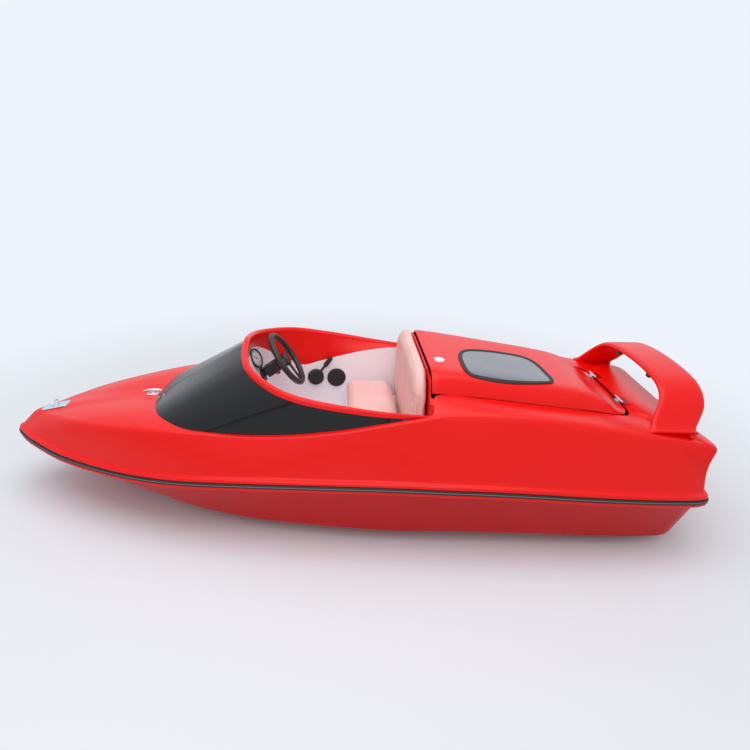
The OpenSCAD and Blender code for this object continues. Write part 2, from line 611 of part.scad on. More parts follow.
// Towing eye on the stem
module bow_eye() {
    color(steel) translate([1500, 0, 212.4]) rotate([0, 65.8, 0]) difference() {
        union() {
            translate([0.5, -22, -32]) cube([5, 44, 64]);
            translate([0, -5, -16]) cube([34, 10, 32]);
            translate([34, 5, 0]) rotate([90, 0, 0]) cylinder(h = 10, r = 16);
        }
        translate([34, 10, 0]) rotate([90, 0, 0]) cylinder(h = 20, r = 8);
    }
}

module stern_eyes() {
    color(steel) for (s = [-1, 1]) translate([-1549.1, s * 250, 190]) rotate([0, 180 - jet_lean, 0]) difference() {
        union() {
            translate([0, -20, -28]) cube([5, 40, 56]);
            translate([0, -14, -5]) cube([28, 28, 10]);
            translate([28, 0, -5]) cylinder(h = 10, r = 14);
        }
        translate([28, 0, -10]) cylinder(h = 20, r = 7);
    }
}

module engine_block() {
    color(alloy) translate([-1010, -150, 92]) cube([400, 300, 300]);
}

module engine_bed() {
    color(red) for (s = [-1, 1]) translate([-1060, s * 118 - 14, 10.2]) cube([500, 28, 81.6]);
}

module intake_grate() {
    color(steel) translate([-1129.5, -83.5, 0]) union() {
        difference() {
            cube([299, 167, 8]);
            translate([14, 14, -1]) cube([271, 139, 10]);
        }
        for (k = [1 : 4]) translate([10, k * 167 / 5 - 4, 0]) cube([279, 8, 8]);
    }
}

// Passage from the grate to the pump
module duct_form(t) {
    hull() {
        translate([-1125 - t, -78 - t, 10.4]) cube([290 + 2 * t, 156 + 2 * t, 6]);
        translate([-1405, 0, pump_z]) rotate([0, 90, 0]) cylinder(h = 10, r = pump_r + t, $fn = 40);
    }
}

module intake_duct() {
    color(alloy) difference() {
        duct_form(5);
        duct_form(0);
        translate([-1120, -78, 5]) cube([280, 156, 8]);
        translate([-1410, 0, pump_z]) rotate([0, 90, 0]) cylinder(h = 12, r = pump_r, $fn = 40);
    }
}

module transom_flange() {
    color(alloy) difference() {
        translate([-1532.6, 0, pump_z]) rotate([0, -jet_lean, 0]) translate([-8.8, -112, -104]) cube([8, 224, 208]);
        translate([-1600, 0, pump_z]) rotate([0, 90, 0]) cylinder(h = 100, r = pump_r + 11 + gap);
    }
}

module pump_housing() {
    color(alloy) union() {
        translate([-1556, 0, pump_z]) rotate([0, 90, 0]) difference() {
            cylinder(h = 150.6, r = pump_r + 11);
            translate([0, 0, -1]) cylinder(h = 153, r = pump_r);
        }
        translate([-1540, 0, pump_z]) rotate([0, 90, 0]) difference() {
            cylinder(h = 48, r = 24);
            translate([0, 0, 6]) cylinder(h = 50, r = 10.4);
        }
        for (k = [0 : vanes - 1]) translate([-1540, 0, pump_z]) rotate([90 + k * 360 / vanes, 0, 0])
            translate([0, 22, -2.5]) cube([48, pump_r - 20, 5]);
        for (s = [-1, 1]) translate([-1576, -14, pump_z + s * 73 - 3.5]) cube([30, 28, 7]);
        for (s = [-1, 1]) translate([-1570, 0, pump_z + s * 68 - 5.5]) cylinder(h = 11, r = 5);
    }
}

module impeller() {
    color(steel) translate([-1486, 0, pump_z]) rotate([0, 90, 0]) union() {
        cylinder(h = 70, r = 22);
        translate([0, 0, 60]) cylinder(h = 70, r = 12);
        translate([0, 0, -47]) cylinder(h = 53, r = 10);
        for (k = [0 : blades - 1]) rotate(k * 360 / blades) translate([0, 0, 34])
            rotate([50, 0, 0]) translate([14, -2.5, -30]) cube([48, 5, 60]);
    }
}

module steering_nozzle() {
    color(alloy) translate([nozzle_x, 0, pump_z]) union() {
        rotate([0, -90, 0]) difference() {
            cylinder(h = 58, r1 = 62, r2 = 54);
            translate([0, 0, -1]) cylinder(h = 60, r1 = 56, r2 = 47);
        }
        for (s = [-1, 1]) translate([-4, 0, s * 63]) difference() {
            cylinder(h = 9, r = 11, center = true);
            cylinder(h = 20, r = 5.5, center = true);
        }
        for (s = [-1, 1]) translate([-34, s * 54, 0]) rotate([-s * 90, 0, 0]) cylinder(h = 18, r = 6);
    }
}

module reverse_bucket() {
    color(alloy) translate([nozzle_x - 34, 0, pump_z]) rotate([90, 0, 0]) difference() {
        union() {
            for (s = [-1, 1]) translate([0, 0, s * 65]) linear_extrude(5, center = true) union() {
                circle(12);
                polygon(concat([[8, -9], [-9, -8]], [for (a = [126 : -6 : 84]) 73 * [cos(a), sin(a)]]));
            }
            rotate([0, 0, 84]) rotate_extrude(angle = 42) translate([70, -67]) square([6, 134]);
        }
        cylinder(h = 200, r = 6.5, center = true);
    }
}

hull_shell();
transom_panel();
keel_plank();
deck_shell();
rub_strip();
windscreen();
cockpit_coaming();
cockpit_liner();
engine_bulkhead();
dashboard();
gauge_pod();
gauge_lens();
steering_column();
steering_wheel();
stop_switch();
control_base();
control_lever();
access_plate();
seat_base();
seat_cushion();
seat_back();
hatch_lid();
hatch_gasket();
hatch_window();
hatch_cap();
hinge_fixed();
hinge_moving();
stern_arch();
arch_clips();
bow_handle();
deck_cleat();
bow_eye();
stern_eyes();
engine_block();
engine_bed();
intake_grate();
intake_duct();
transom_flange();
pump_housing();
impeller();
steering_nozzle();
reverse_bucket();
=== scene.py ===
# %% [markdown]
# # A two-seat jet boat
# The boat is a fibreglass shell in two halves, joined at a black rubber strip that runs all round it.
# A tinted screen wraps the cockpit, a hatch covers the engine, and an arch stands over the stern.
# The solids are loaded first as a fixed frame, and the finer surfaces here are laid over them. Two differ in form:
# the screen is straight where its solid bulges, and the seat back stands a little higher than its solid.

# %% Load the frame
import json
import math

import bpy
import numpy as np
from mathutils import Matrix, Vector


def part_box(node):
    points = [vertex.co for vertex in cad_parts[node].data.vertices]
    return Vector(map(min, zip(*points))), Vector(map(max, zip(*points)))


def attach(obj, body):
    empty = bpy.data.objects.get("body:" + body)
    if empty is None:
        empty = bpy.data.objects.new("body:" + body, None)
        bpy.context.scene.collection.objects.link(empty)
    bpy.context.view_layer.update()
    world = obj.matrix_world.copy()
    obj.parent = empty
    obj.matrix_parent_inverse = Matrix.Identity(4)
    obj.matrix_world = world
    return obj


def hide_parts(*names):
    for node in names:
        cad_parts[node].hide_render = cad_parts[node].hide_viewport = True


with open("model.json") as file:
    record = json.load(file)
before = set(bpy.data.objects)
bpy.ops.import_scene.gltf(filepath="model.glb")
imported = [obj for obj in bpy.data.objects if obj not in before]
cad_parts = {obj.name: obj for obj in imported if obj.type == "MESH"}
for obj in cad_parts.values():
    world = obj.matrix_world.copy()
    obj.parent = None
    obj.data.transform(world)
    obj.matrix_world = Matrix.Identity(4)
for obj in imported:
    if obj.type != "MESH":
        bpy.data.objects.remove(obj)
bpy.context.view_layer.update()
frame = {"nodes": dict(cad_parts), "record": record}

MM = 0.001

# %% [markdown]
# ## Camera
# The photograph looks across the boat from port, at about head height and tilted down.
# Its optical axis lies left of the middle of the picture, which a small sideways shift of the lens gives.

# %% Camera
EYE = (0.0442, 2.7126, 1.7395)
PITCH_DOWN, ROLL = math.radians(22.3), math.radians(1.0)
SENSOR_WIDTH, LENS, LENS_SHIFT = 36.0, 28.32, 0.0587
right = np.array([-1.0, 0, 0])
forward = np.array([0, -math.cos(PITCH_DOWN), -math.sin(PITCH_DOWN)])
up = np.cross(right, forward)
right, up = (right * math.cos(ROLL) + up * math.sin(ROLL),
             up * math.cos(ROLL) - right * math.sin(ROLL))
camera = bpy.data.objects.new("camera", bpy.data.cameras.new("camera"))
camera.data.sensor_width, camera.data.lens, camera.data.shift_x = SENSOR_WIDTH, LENS, LENS_SHIFT
turned = Matrix(np.stack([right, up, -forward], 1).tolist()).to_4x4()
turned.translation = EYE
camera.matrix_world = turned
bpy.context.scene.collection.objects.link(camera)
bpy.context.scene.camera = camera
print("camera at", EYE, "lens", camera.data.lens)

# %% [markdown]
# ## Grids into meshes
# Almost every surface of a moulded boat is a sheet that two numbers can walk over: along the boat, and
# across it. So one helper turns a grid of points into quads, and another turns a grid into a thin wall
# with a second, inner grid behind it and closed edges. Both work on whole arrays.

# %% Mesh helpers


def grid_normals(grid, wrap):
    """Unit normals of a grid: the cross product of its differences along both of its directions."""
    along = np.roll(grid, -1, 0) - np.roll(grid, 1, 0) if wrap else np.gradient(grid, axis=0)
    normal = np.cross(along, np.gradient(grid, axis=1))
    return normal / np.maximum(np.linalg.norm(normal, axis=2, keepdims=True), 1e-12)


def add_piece(name, points, faces, body, slot, stands_for=(), finish=None, crease=38):
    """A mesh object in millimetres, smooth but for edges sharper than crease degrees, riding on a body.
    It wears its slot's finish unless another is given."""
    mesh = bpy.data.meshes.new(name)
    mesh.from_pydata((np.asarray(points, float).reshape(-1, 3) * MM).tolist(), [], faces)
    mesh.polygons.foreach_set("use_smooth", np.ones(len(mesh.polygons), bool))
    mesh.set_sharp_from_angle(angle=math.radians(crease))
    mesh.materials.append(finish or FINISH[slot])
    piece = bpy.data.objects.new(name, mesh)
    bpy.context.scene.collection.objects.link(piece)
    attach(piece, body)
    if stands_for:
        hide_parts(*stands_for)
    print(f"{name}: {len(mesh.vertices)} points, {len(mesh.polygons)} faces")
    return piece


def quads(nu, nv, wrap_u=False, wrap_v=False, flip=False):
    """Index quads over a grid of nu by nv points, joined up where a direction wraps."""
    index = np.arange(nu * nv).reshape(nu, nv)
    index = np.concatenate([index, index[:1]]) if wrap_u else index
    index = np.concatenate([index, index[:, :1]], 1) if wrap_v else index
    cells = np.stack([index[:-1, :-1], index[1:, :-1], index[1:, 1:], index[:-1, 1:]], 2).reshape(-1, 4)
    return cells[:, ::-1] if flip else cells


def wall_mesh(outer, thick, wrap=False, flip=False, keep=None):
    """Points and faces of a wall: the outer grid, a copy moved by thick against the normal, and closed rims.
    keep says which cells exist, so that an opening gets its own rim."""
    nu, nv = outer.shape[:2]
    turn = -1.0 if flip else 1.0
    thick = np.broadcast_to(np.asarray(thick, float), (nu,))[:, None, None]
    inner = outer - turn * thick * grid_normals(outer, wrap)
    index = np.arange(nu * nv).reshape(nu, nv)
    index = np.concatenate([index, index[:1]]) if wrap else index
    a, b, c, d = index[:-1, :-1], index[1:, :-1], index[1:, 1:], index[:-1, 1:]
    keep = np.ones(a.shape, bool) if keep is None else keep
    padded = np.pad(keep, 1)
    if wrap:
        padded[0, 1:-1], padded[-1, 1:-1] = keep[-1], keep[0]
    n = nu * nv
    faces = [np.stack([a, b, c, d], 2)[keep], np.stack([d + n, c + n, b + n, a + n], 2)[keep]]
    beside = ((b, a, padded[1:-1, :-2]), (d, c, padded[1:-1, 2:]),
              (c, b, padded[2:, 1:-1]), (a, d, padded[:-2, 1:-1]))
    for p, q, other in beside:
        edge = keep & ~other
        faces.append(np.stack([p, q, q + n, p + n], 2)[edge])
    faces = np.concatenate(faces)
    faces = faces[:, ::-1] if flip else faces
    used, faces = np.unique(faces, return_inverse=True)
    points = np.concatenate([outer.reshape(-1, 3), inner.reshape(-1, 3)])[used]
    return points, faces.reshape(-1, 4).tolist()


def signed_power(value, power):
    """A value to a power with its sign kept: sign * |value|^power. A power under 1 squares a circle off."""
    return np.sign(value) * np.abs(value) ** power


def sweep_mesh(rows, wrap=False, flip=False):
    """Points and faces of a closed section carried along a path; open ends get a flat cap."""
    nu, nv = rows.shape[:2]
    faces = quads(nu, nv, wrap, True, flip).tolist()
    if not wrap:
        first, last = list(range(nv)), list(range((nu - 1) * nv, nu * nv))
        faces += [first[::-1], last] if flip else [first, last[::-1]]
    return rows, faces


def joined(parts):
    """One point list and one face list from several pairs of them."""
    points, faces, start = [], [], 0
    for p, f in parts:
        p = np.asarray(p, float).reshape(-1, 3)
        points.append(p)
        faces += [[start + i for i in face] for face in f]
        start += len(p)
    return np.concatenate(points), faces


# %% [markdown]
# ## Finishes
# Gelcoat is a pigmented resin skin: an even colour under a clear, slightly wavy gloss. The screen is dark
# acrylic, the liner white gelcoat, the trim black rubber and plastic, the fittings polished steel.
# Each finish mixes two close colours with a soft noise, lets the roughness wander a little and adds a
# fine bump at the grain of the real material. All read Object coordinates, in metres.

# %% Finish helper


def srgb(r, g, b):
    """Linear colour from 0-255 display values: c/12.92 near black, else ((c + 0.055) / 1.055) to the 2.4."""
    c = np.array([r, g, b]) / 255
    return (*np.where(c < 0.04045, c / 12.92, ((c + 0.055) / 1.055) ** 2.4).tolist(), 1.0)


def node(tree, kind, **values):
    """A node of that kind, with its named inputs set."""
    made = tree.nodes.new(kind)
    for key, value in values.items():
        made.inputs[key.replace("_", " ")].default_value = value
    return made


def wire(tree, *links):
    """Link sockets, each link given as a node, its output, the next node and that one's input."""
    for source, output, target, entry in links:
        tree.links.new(source.outputs[output], target.inputs[entry])


ROUGH_SPAN, BUMP_DEPTH = 0.08, 0.0004


def make_finish(name, low, high, rough, mottle, grain, bump, **fixed):
    """Principled finish: a soft noise of scale mottle blends two display colours and sways the roughness,
    and a fine noise of scale grain gives the bump."""
    made = bpy.data.materials.new(name)
    made.use_nodes = True
    tree = made.node_tree
    shader = tree.nodes["Principled BSDF"]
    for key, value in fixed.items():
        shader.inputs[key.replace("_", " ")].default_value = value
    place = tree.nodes.new("ShaderNodeTexCoord")
    patch = node(tree, "ShaderNodeTexNoise", Scale=mottle, Detail=4.0, Roughness=0.55)
    blend = tree.nodes.new("ShaderNodeMix")
    blend.data_type = "RGBA"
    blend.inputs["A"].default_value, blend.inputs["B"].default_value = srgb(*low), srgb(*high)
    span = node(tree, "ShaderNodeMapRange", To_Min=rough - ROUGH_SPAN / 2, To_Max=rough + ROUGH_SPAN / 2)
    fine = node(tree, "ShaderNodeTexNoise", Scale=grain, Detail=2.0)
    relief = node(tree, "ShaderNodeBump", Strength=bump, Distance=BUMP_DEPTH)
    wire(tree, (place, "Object", patch, "Vector"), (place, "Object", fine, "Vector"),
         (patch, "Fac", blend, "Factor"), (patch, "Fac", span, "Value"),
         (blend, "Result", shader, "Base Color"), (span, "Result", shader, "Roughness"),
         (fine, "Fac", relief, "Height"), (relief, "Normal", shader, "Normal"))
    return made


# %% The finishes
# slot: both colours, roughness, scale of the mottle and of the grain, bump, and what else is set
LOOKS = {
    "gelcoat_red": ((236, 10, 4), (244, 16, 8), 0.3, 3.0, 90.0, 0.03,
                    {"Specular_IOR_Level": 0.25, "Coat_Weight": 0.1, "Coat_Roughness": 0.06}),
    "screen_black": ((8, 9, 11), (13, 14, 17), 0.12, 4.0, 60.0, 0.02,
                     {"Specular_IOR_Level": 0.32, "Coat_Weight": 0.1, "Coat_Roughness": 0.03}),
    "liner_white": ((252, 244, 252), (254, 250, 254), 0.38, 5.0, 220.0, 0.08,
                    {"Coat_Weight": 0.15, "Coat_Roughness": 0.1}),
    "seat_vinyl": ((240, 172, 165), (244, 214, 211), 0.42, 7.0, 700.0, 0.3, {}),
    "rubber_black": ((20, 20, 21), (36, 36, 38), 0.55, 20.0, 900.0, 0.25, {}),
    "black_plastic": ((24, 24, 26), (38, 38, 41), 0.42, 18.0, 1400.0, 0.3, {}),
    "gauge_glass": ((214, 218, 222), (232, 235, 238), 0.15, 30.0, 400.0, 0.02, {"Coat_Weight": 1.0}),
    "switch_red": ((205, 20, 18), (222, 34, 28), 0.35, 40.0, 900.0, 0.15, {}),
    "window_grey": ((88, 88, 96), (138, 137, 148), 0.3, 5.0, 80.0, 0.05,
                    {"Coat_Weight": 0.6, "Coat_Roughness": 0.04}),
    "chrome": ((214, 216, 220), (232, 234, 236), 0.14, 30.0, 500.0, 0.04, {"Metallic": 1.0}),
    "alloy": ((150, 152, 155), (176, 178, 180), 0.42, 25.0, 350.0, 0.25, {"Metallic": 0.9}),
    "steel": ((172, 174, 178), (196, 198, 200), 0.26, 40.0, 700.0, 0.08, {"Metallic": 1.0}),
}
FINISH = {slot: make_finish(slot, *look[:-1], **look[-1]) for slot, look in LOOKS.items()}
for part in frame["record"]["subparts"]:
    mesh = frame["nodes"][part["node"]].data
    mesh.materials.clear()
    mesh.materials.append(FINISH[part["material_slot"]])
print("finishes:", ", ".join(FINISH))

# %% [markdown]
# ## Floor, world and lamps
# A round pale floor fades into the pale world far from the boat, so that no horizon shows. The world
# lights the boat evenly, and what the camera, a gloss or a glass sees of it is the pale backdrop itself.
# Two wide lamps, one overhead and one in front, give the soft shade under the hull.

# %% Floor, world and lamps
BACKDROP = srgb(238, 243, 251)


def disc_grid(radii, turns):
    """Rings of points round the origin: radius along one direction, angle along the other."""
    a = np.linspace(0, 2 * np.pi, turns, endpoint=False)
    return np.stack([np.outer(radii, np.cos(a)), np.outer(radii, np.sin(a)), np.zeros((len(radii), turns))], 2)


FLOOR_RADII, FLOOR_TURNS = np.array([0.01, 1, 2, 4, 8, 16, 40]), 64
FADE_FROM, FADE_TO = 1.2, 3.6
rings = disc_grid(FLOOR_RADII, FLOOR_TURNS)
floor_faces = quads(len(FLOOR_RADII), FLOOR_TURNS, False, True).tolist() + [list(range(FLOOR_TURNS))]
floor_mesh = bpy.data.meshes.new("floor")
floor_mesh.from_pydata(rings.reshape(-1, 3).tolist(), [], floor_faces)
floor_mesh.polygons.foreach_set("use_smooth", np.ones(len(floor_mesh.polygons), bool))
floor = bpy.data.objects.new("floor", floor_mesh)
bpy.context.scene.collection.objects.link(floor)

floor_look = bpy.data.materials.new("pale_floor")
floor_look.use_nodes = True
tree = floor_look.node_tree
matte = tree.nodes["Principled BSDF"]
matte.inputs["Base Color"].default_value = srgb(232, 236, 243)
matte.inputs["Roughness"].default_value = 0.9
matte.inputs["Specular IOR Level"].default_value = 0.0
glow = node(tree, "ShaderNodeEmission", Color=BACKDROP, Strength=1.0)
where = tree.nodes.new("ShaderNodeTexCoord")
reach = tree.nodes.new("ShaderNodeVectorMath")
reach.operation = "LENGTH"
fade = node(tree, "ShaderNodeMapRange", From_Min=FADE_FROM, From_Max=FADE_TO)
fade.interpolation_type = "SMOOTHSTEP"
seen = tree.nodes.new("ShaderNodeLightPath")
both = tree.nodes.new("ShaderNodeMath")
both.operation = "MULTIPLY"
lay = tree.nodes.new("ShaderNodeMixShader")
wire(tree, (where, "Object", reach, 0), (reach, "Value", fade, "Value"), (fade, "Result", both, 0),
     (seen, "Is Camera Ray", both, 1), (both, "Value", lay, "Fac"), (matte, "BSDF", lay, 1),
     (glow, "Emission", lay, 2), (lay, "Shader", tree.nodes["Material Output"], "Surface"))
floor_mesh.materials.append(floor_look)

world = bpy.data.worlds.new("studio")
bpy.context.scene.world = world
world.use_nodes = True
tree = world.node_tree
lit = tree.nodes["Background"]
WORLD_STRENGTH = 0.5
lit.inputs["Color"].default_value, lit.inputs["Strength"].default_value = (1, 1, 1, 1), WORLD_STRENGTH
backdrop = node(tree, "ShaderNodeBackground", Color=BACKDROP, Strength=1.0)
path = tree.nodes.new("ShaderNodeLightPath")
total = tree.nodes.new("ShaderNodeMath")
total.operation = "ADD"
most = tree.nodes.new("ShaderNodeMath")
most.operation, most.use_clamp = "ADD", True
lay = tree.nodes.new("ShaderNodeMixShader")
wire(tree, (path, "Is Camera Ray", total, 0), (path, "Is Glossy Ray", total, 1), (total, "Value", most, 0),
     (path, "Is Transmission Ray", most, 1), (most, "Value", lay, "Fac"), (lit, "Background", lay, 1),
     (backdrop, "Background", lay, 2), (lay, "Shader", tree.nodes["World Output"], "Surface"))

# name, place, size, watts, aim
LAMPS = (("lamp_top", (0.3, 0.6, 4.6), 5.0, 130, (0, 0, 0)),
         ("lamp_front", (0.8, 4.6, 3.4), 3.0, 45, (0, 0, 0.4)))
for name, place, size, watts, aim in LAMPS:
    lamp = bpy.data.objects.new(name, bpy.data.lights.new(name, "AREA"))
    lamp.data.energy, lamp.data.size = watts, size
    look = Matrix.Translation(place)
    toward = (Matrix.Translation(aim).translation - look.translation).to_track_quat("-Z", "Y")
    lamp.matrix_world = look @ toward.to_matrix().to_4x4()
    bpy.context.scene.collection.objects.link(lamp)
bpy.context.scene.view_settings.view_transform = "Standard"
print("floor, world and two lamps")

# %% [markdown]
# ## Guide rows
# A boat's lines are drawn as a few long curves that sweep from the bow to the stern. Each row below is one
# station on those curves, in millimetres. A Catmull-Rom spline runs through the stations, mirrored at
# the middle plane so that the bow and the stern stay round.

# %% Stations of the shells
# rail, shoulder, deck edge
GUIDE = np.array([
    [[1643, 0, 300], [1545, 0, 412], [905, 0, 510]],
    [[1600, 64, 297], [1480, 60, 420], [900, 60, 513]],
    [[1512, 138, 291], [1392, 131, 438], [888, 128, 519]],
    [[1339, 250, 280], [1268, 223, 459], [868, 206, 525]],
    [[1129, 350, 277], [1095, 310, 481], [834, 279, 527]],
    [[926, 430, 284], [915, 379, 503], [776, 341, 527]],
    [[741, 482, 294], [755, 422, 517], [700, 394, 523]],
    [[541, 520, 310], [600, 443, 517], [592, 426, 522]],
    [[380, 543, 322], [400, 468, 518], [400, 450, 524]],
    [[224, 560, 331], [200, 495, 538], [200, 478, 545]],
    [[30, 575, 338], [0, 514, 572], [-20, 498, 583]],
    [[-170, 585, 342], [-170, 514, 604], [-160, 497, 609]],
    [[-310, 590, 342], [-300, 504, 625], [-290, 487, 628]],
    [[-400, 593, 341], [-386, 492, 637], [-380, 472, 641]],
    [[-455, 594, 340], [-440, 485, 643], [-402, 418, 668]],
    [[-520, 595, 339], [-520, 481, 645], [-425, 366, 690]],
    [[-650, 595, 336], [-650, 480, 646], [-600, 356, 676]],
    [[-850, 595, 328], [-850, 480, 637], [-850, 343, 643]],
    [[-1060, 594, 317], [-1060, 480, 611], [-1080, 327, 611]],
    [[-1272, 587, 306], [-1270, 478, 576], [-1240, 314, 586]],
    [[-1450, 573, 296], [-1430, 472, 551], [-1298, 303, 578]],
    [[-1570, 550, 287], [-1566, 476, 527], [-1324, 266, 577]],
    [[-1616, 502, 283], [-1640, 462, 508], [-1331, 195, 580]],
    [[-1629, 330, 281], [-1645, 318, 503], [-1331, 115, 583]],
    [[-1634, 92, 282], [-1644, 85, 500], [-1331, 40, 585]],
    [[-1634, 0, 282], [-1645, 0, 500], [-1331, 0, 585]]], float)
# chine, pad edge
UNDER = np.array([
    [[1400, 0, 168], [560, 0, 0]], [[1368, 50, 172], [556, 26, 0]], [[1300, 112, 176], [540, 52, 0]],
    [[1172, 206, 178], [505, 78, 0]], [[1010, 290, 168], [440, 100, 0]], [[860, 335, 142], [350, 118, 0]],
    [[720, 365, 107], [240, 130, 0]], [[560, 392, 80], [110, 137, 0]], [[390, 424, 68], [-20, 140, 0]],
    [[215, 455, 71], [-130, 140, 0]], [[30, 478, 70], [-240, 140, 0]], [[-165, 494, 67], [-350, 140, 0]],
    [[-300, 499, 68], [-440, 140, 0]], [[-400, 502, 70], [-520, 140, 0]], [[-470, 503, 71], [-590, 140, 0]],
    [[-550, 504, 73], [-660, 140, 0]], [[-680, 505, 73], [-750, 140, 0]], [[-860, 505, 70], [-880, 140, 0]],
    [[-1060, 502, 64], [-1020, 140, 0]], [[-1250, 497, 56], [-1160, 140, 0]],
    [[-1400, 486, 52], [-1280, 140, 0]], [[-1500, 470, 54], [-1370, 137, 0]],
    [[-1540, 405, 54], [-1412, 124, 0]], [[-1503, 230, 36], [-1426, 92, 0]],
    [[-1500, 92, 26], [-1431, 45, 0]], [[-1499, 0, 24], [-1432, 0, 0]]], float)
# tuck and drop of the hull under the lip, swell of the deck side
TUCK = np.array([16, 16, 16, 17, 18, 20] + [22] * 12 + [23, 25, 28, 36, 52, 66, 69, 69], float)
DROP = np.array([30] * 5 + [31] * 13 + [32, 33, 34, 36, 39, 40, 40, 40], float)
SWELL = np.array([0, 0, 2, 3] + [4] * 13 + [3, 2, 0, -4, -12, -20, -24, -24, -24], float)


def catmull_rom(a, b, c, d, t):
    """From b to c as t runs from 0 to 1: half of (2b + (c-a)t + (2a-5b+4c-d)t2 + (3b-a-3c+d)t3)."""
    return 0.5 * (2 * b + (c - a) * t + (2 * a - 5 * b + 4 * c - d) * t**2 + (3 * b - a - 3 * c + d) * t**3)


def curve(rows, u, mirrored_end=True):
    """Catmull-Rom through the rows at places u. The row before the first is the second one mirrored at the
    middle plane; the row after the last is mirrored too, or else carries the last run straight on."""
    flip = np.array([1, -1, 1.0]) if rows.ndim == 2 else 1.0
    end = rows[-2] * flip if mirrored_end else 2 * rows[-1] - rows[-2]
    p = np.concatenate([[rows[1] * flip], rows, [end]])
    k = np.minimum(u.astype(int), len(rows) - 2)
    t = (u - k)[:, None] if rows.ndim == 2 else u - k
    return catmull_rom(p[k], p[k + 1], p[k + 2], p[k + 3], t)


def outward(line, mirrored_end=True):
    """Level direction square to a line that starts on the middle plane: its plan tangent turned a quarter."""
    end = line[-2] * [1, -1, 1] if mirrored_end else line[-1]
    full = np.concatenate([[line[1] * [1, -1, 1]], line, [end]])
    t = (full[2:] - full[:-2]) * [1, 1, 0]
    t /= np.linalg.norm(t, axis=1, keepdims=True)
    return np.stack([t[:, 1], -t[:, 0], 0 * t[:, 0]], 1)


UNDER_HALF = 0.48


def rounded(corners, radii, steps=5, fill=3):
    """A section through corner rows: straight runs of fill points, and at each inner corner a parabola that
    starts and ends a radius away, or just under half of the shorter run where that is less."""
    section = [corners[0]]
    for j in range(1, len(corners) - 1):
        p, before, after = corners[j], corners[j - 1] - corners[j], corners[j + 1] - corners[j]
        reach_a = np.linalg.norm(before, axis=1, keepdims=True)
        reach_b = np.linalg.norm(after, axis=1, keepdims=True)
        d = np.minimum(radii[j], UNDER_HALF * np.minimum(reach_a, reach_b))
        a, b = p + before / reach_a * d, p + after / reach_b * d
        section += [section[-1] + (a - section[-1]) * f for f in np.linspace(0, 1, fill + 2)[1:-1]]
        section += [(1 - t) ** 2 * a + 2 * t * (1 - t) * p + t * t * b for t in np.linspace(0, 1, steps)]
    section += [section[-1] + (corners[-1] - section[-1]) * f for f in np.linspace(0, 1, fill + 2)[1:]]
    return np.stack(section, 1)


def both_sides(half):
    """Port rows from bow to stern, then their starboard mirror back to the bow, as one closed loop."""
    return np.concatenate([half, half[-2:0:-1] * [1, -1, 1]])


def open_run(half):
    """Rows from starboard aft, round the front, to port aft."""
    return np.concatenate([half[:0:-1] * [1, -1, 1], half])


Z = np.array([0, 0, 1.0])
U = np.linspace(0, len(GUIDE) - 1, 201)
rail, shoulder, deck_edge = (curve(GUIDE[:, k], U) for k in range(3))
rail_out = outward(rail)
rail_run = np.linalg.norm(np.diff(rail, axis=0), axis=1).sum() * 2 * MM
print("rail runs", round(float(rail_run), 2), "m round the boat")

# %% [markdown]
# ## Deck and hull
# Both halves end in a red lip that grips the rubber strip, so the two sections nearly mirror each other there.
# From its lip the deck climbs to a soft shoulder and runs in flat to the cockpit and the hatch; the hull
# tucks in under its lip and falls to the chine, then to the flat pad on which the boat rests. Below the lip
# the hull gets a deeper red that is painted shade, standing for the shadow under the hull, so the lip is a piece
# of its own.
# A section with rounded corners carried along the guide rows gives both.

# %% Deck skin
LIP, LIP_FAR, LIP_DEEP = 10.0, 22, 27  # near and far edge of a lip from the rail, and its reach inwards
SHELL_THICK, SHOULDER_R = 4.0, 27.0
SIDE_IN, SIDE_UP = 19, 32  # where the deck's side starts, from the rail
CROWN, CROWN_AFT, AFT_X = 0.03, 0.09, -1600  # rise of the deck's middle for its width, and abaft AFT_X
base = rail - rail_out * SIDE_IN + Z * SIDE_UP
side_mid = (base + shoulder) / 2 + rail_out * curve(SWELL, U)[:, None]
top_run = np.linalg.norm(deck_edge - shoulder, axis=1, keepdims=True)
crown = np.where(shoulder[:, :1] < AFT_X, CROWN_AFT, CROWN) * top_run
top_mid = (shoulder + deck_edge) / 2 + crown * Z
deck_half = rounded(
    [rail - rail_out * LIP_DEEP + Z * LIP, rail - rail_out * 3 + Z * LIP, rail + Z * (LIP + 3),
     rail + Z * LIP_FAR, rail - rail_out * 5 + Z * 28, base, side_mid, shoulder, top_mid, deck_edge],
    [0, 3, 3, 5, 5, 9, 90, SHOULDER_R, 200, 0])
points, faces = wall_mesh(both_sides(deck_half), SHELL_THICK, wrap=True)
add_piece("deck_skin", points, faces, "boat", "gelcoat_red", ["deck_shell"])

# %% Hull skin
chine, pad = curve(UNDER[:, 0], U), curve(UNDER[:, 1], U)
under_lip = rail - rail_out * curve(TUCK, U)[:, None] - Z * curve(DROP, U)[:, None]
hull_half = rounded(
    [rail - rail_out * LIP_DEEP - Z * LIP, rail - rail_out * 3 - Z * LIP, rail - Z * (LIP + 3),
     rail - Z * LIP_FAR, rail - rail_out * 5 - Z * 27, under_lip, (under_lip + chine) / 2, chine,
     (chine + pad) / 2, pad],
    [0, 3, 3, 5, 5, 10, 60, 16, 120, 0])
hull_grid = both_sides(hull_half)
mid_v = (hull_grid[:, :-1] + hull_grid[:, 1:]) / 2
centre = (mid_v + np.roll(mid_v, -1, 0)) / 2
JET_Z, JET_HOLE_R, JET_ABAFT = 135, 88, -1400
off_axis = np.hypot(centre[..., 1], centre[..., 2] - JET_Z)
jet_hole = (centre[..., 0] < JET_ABAFT) & (off_axis < JET_HOLE_R)
LIP_END = 38  # the column of the grid where the lip turns into the side
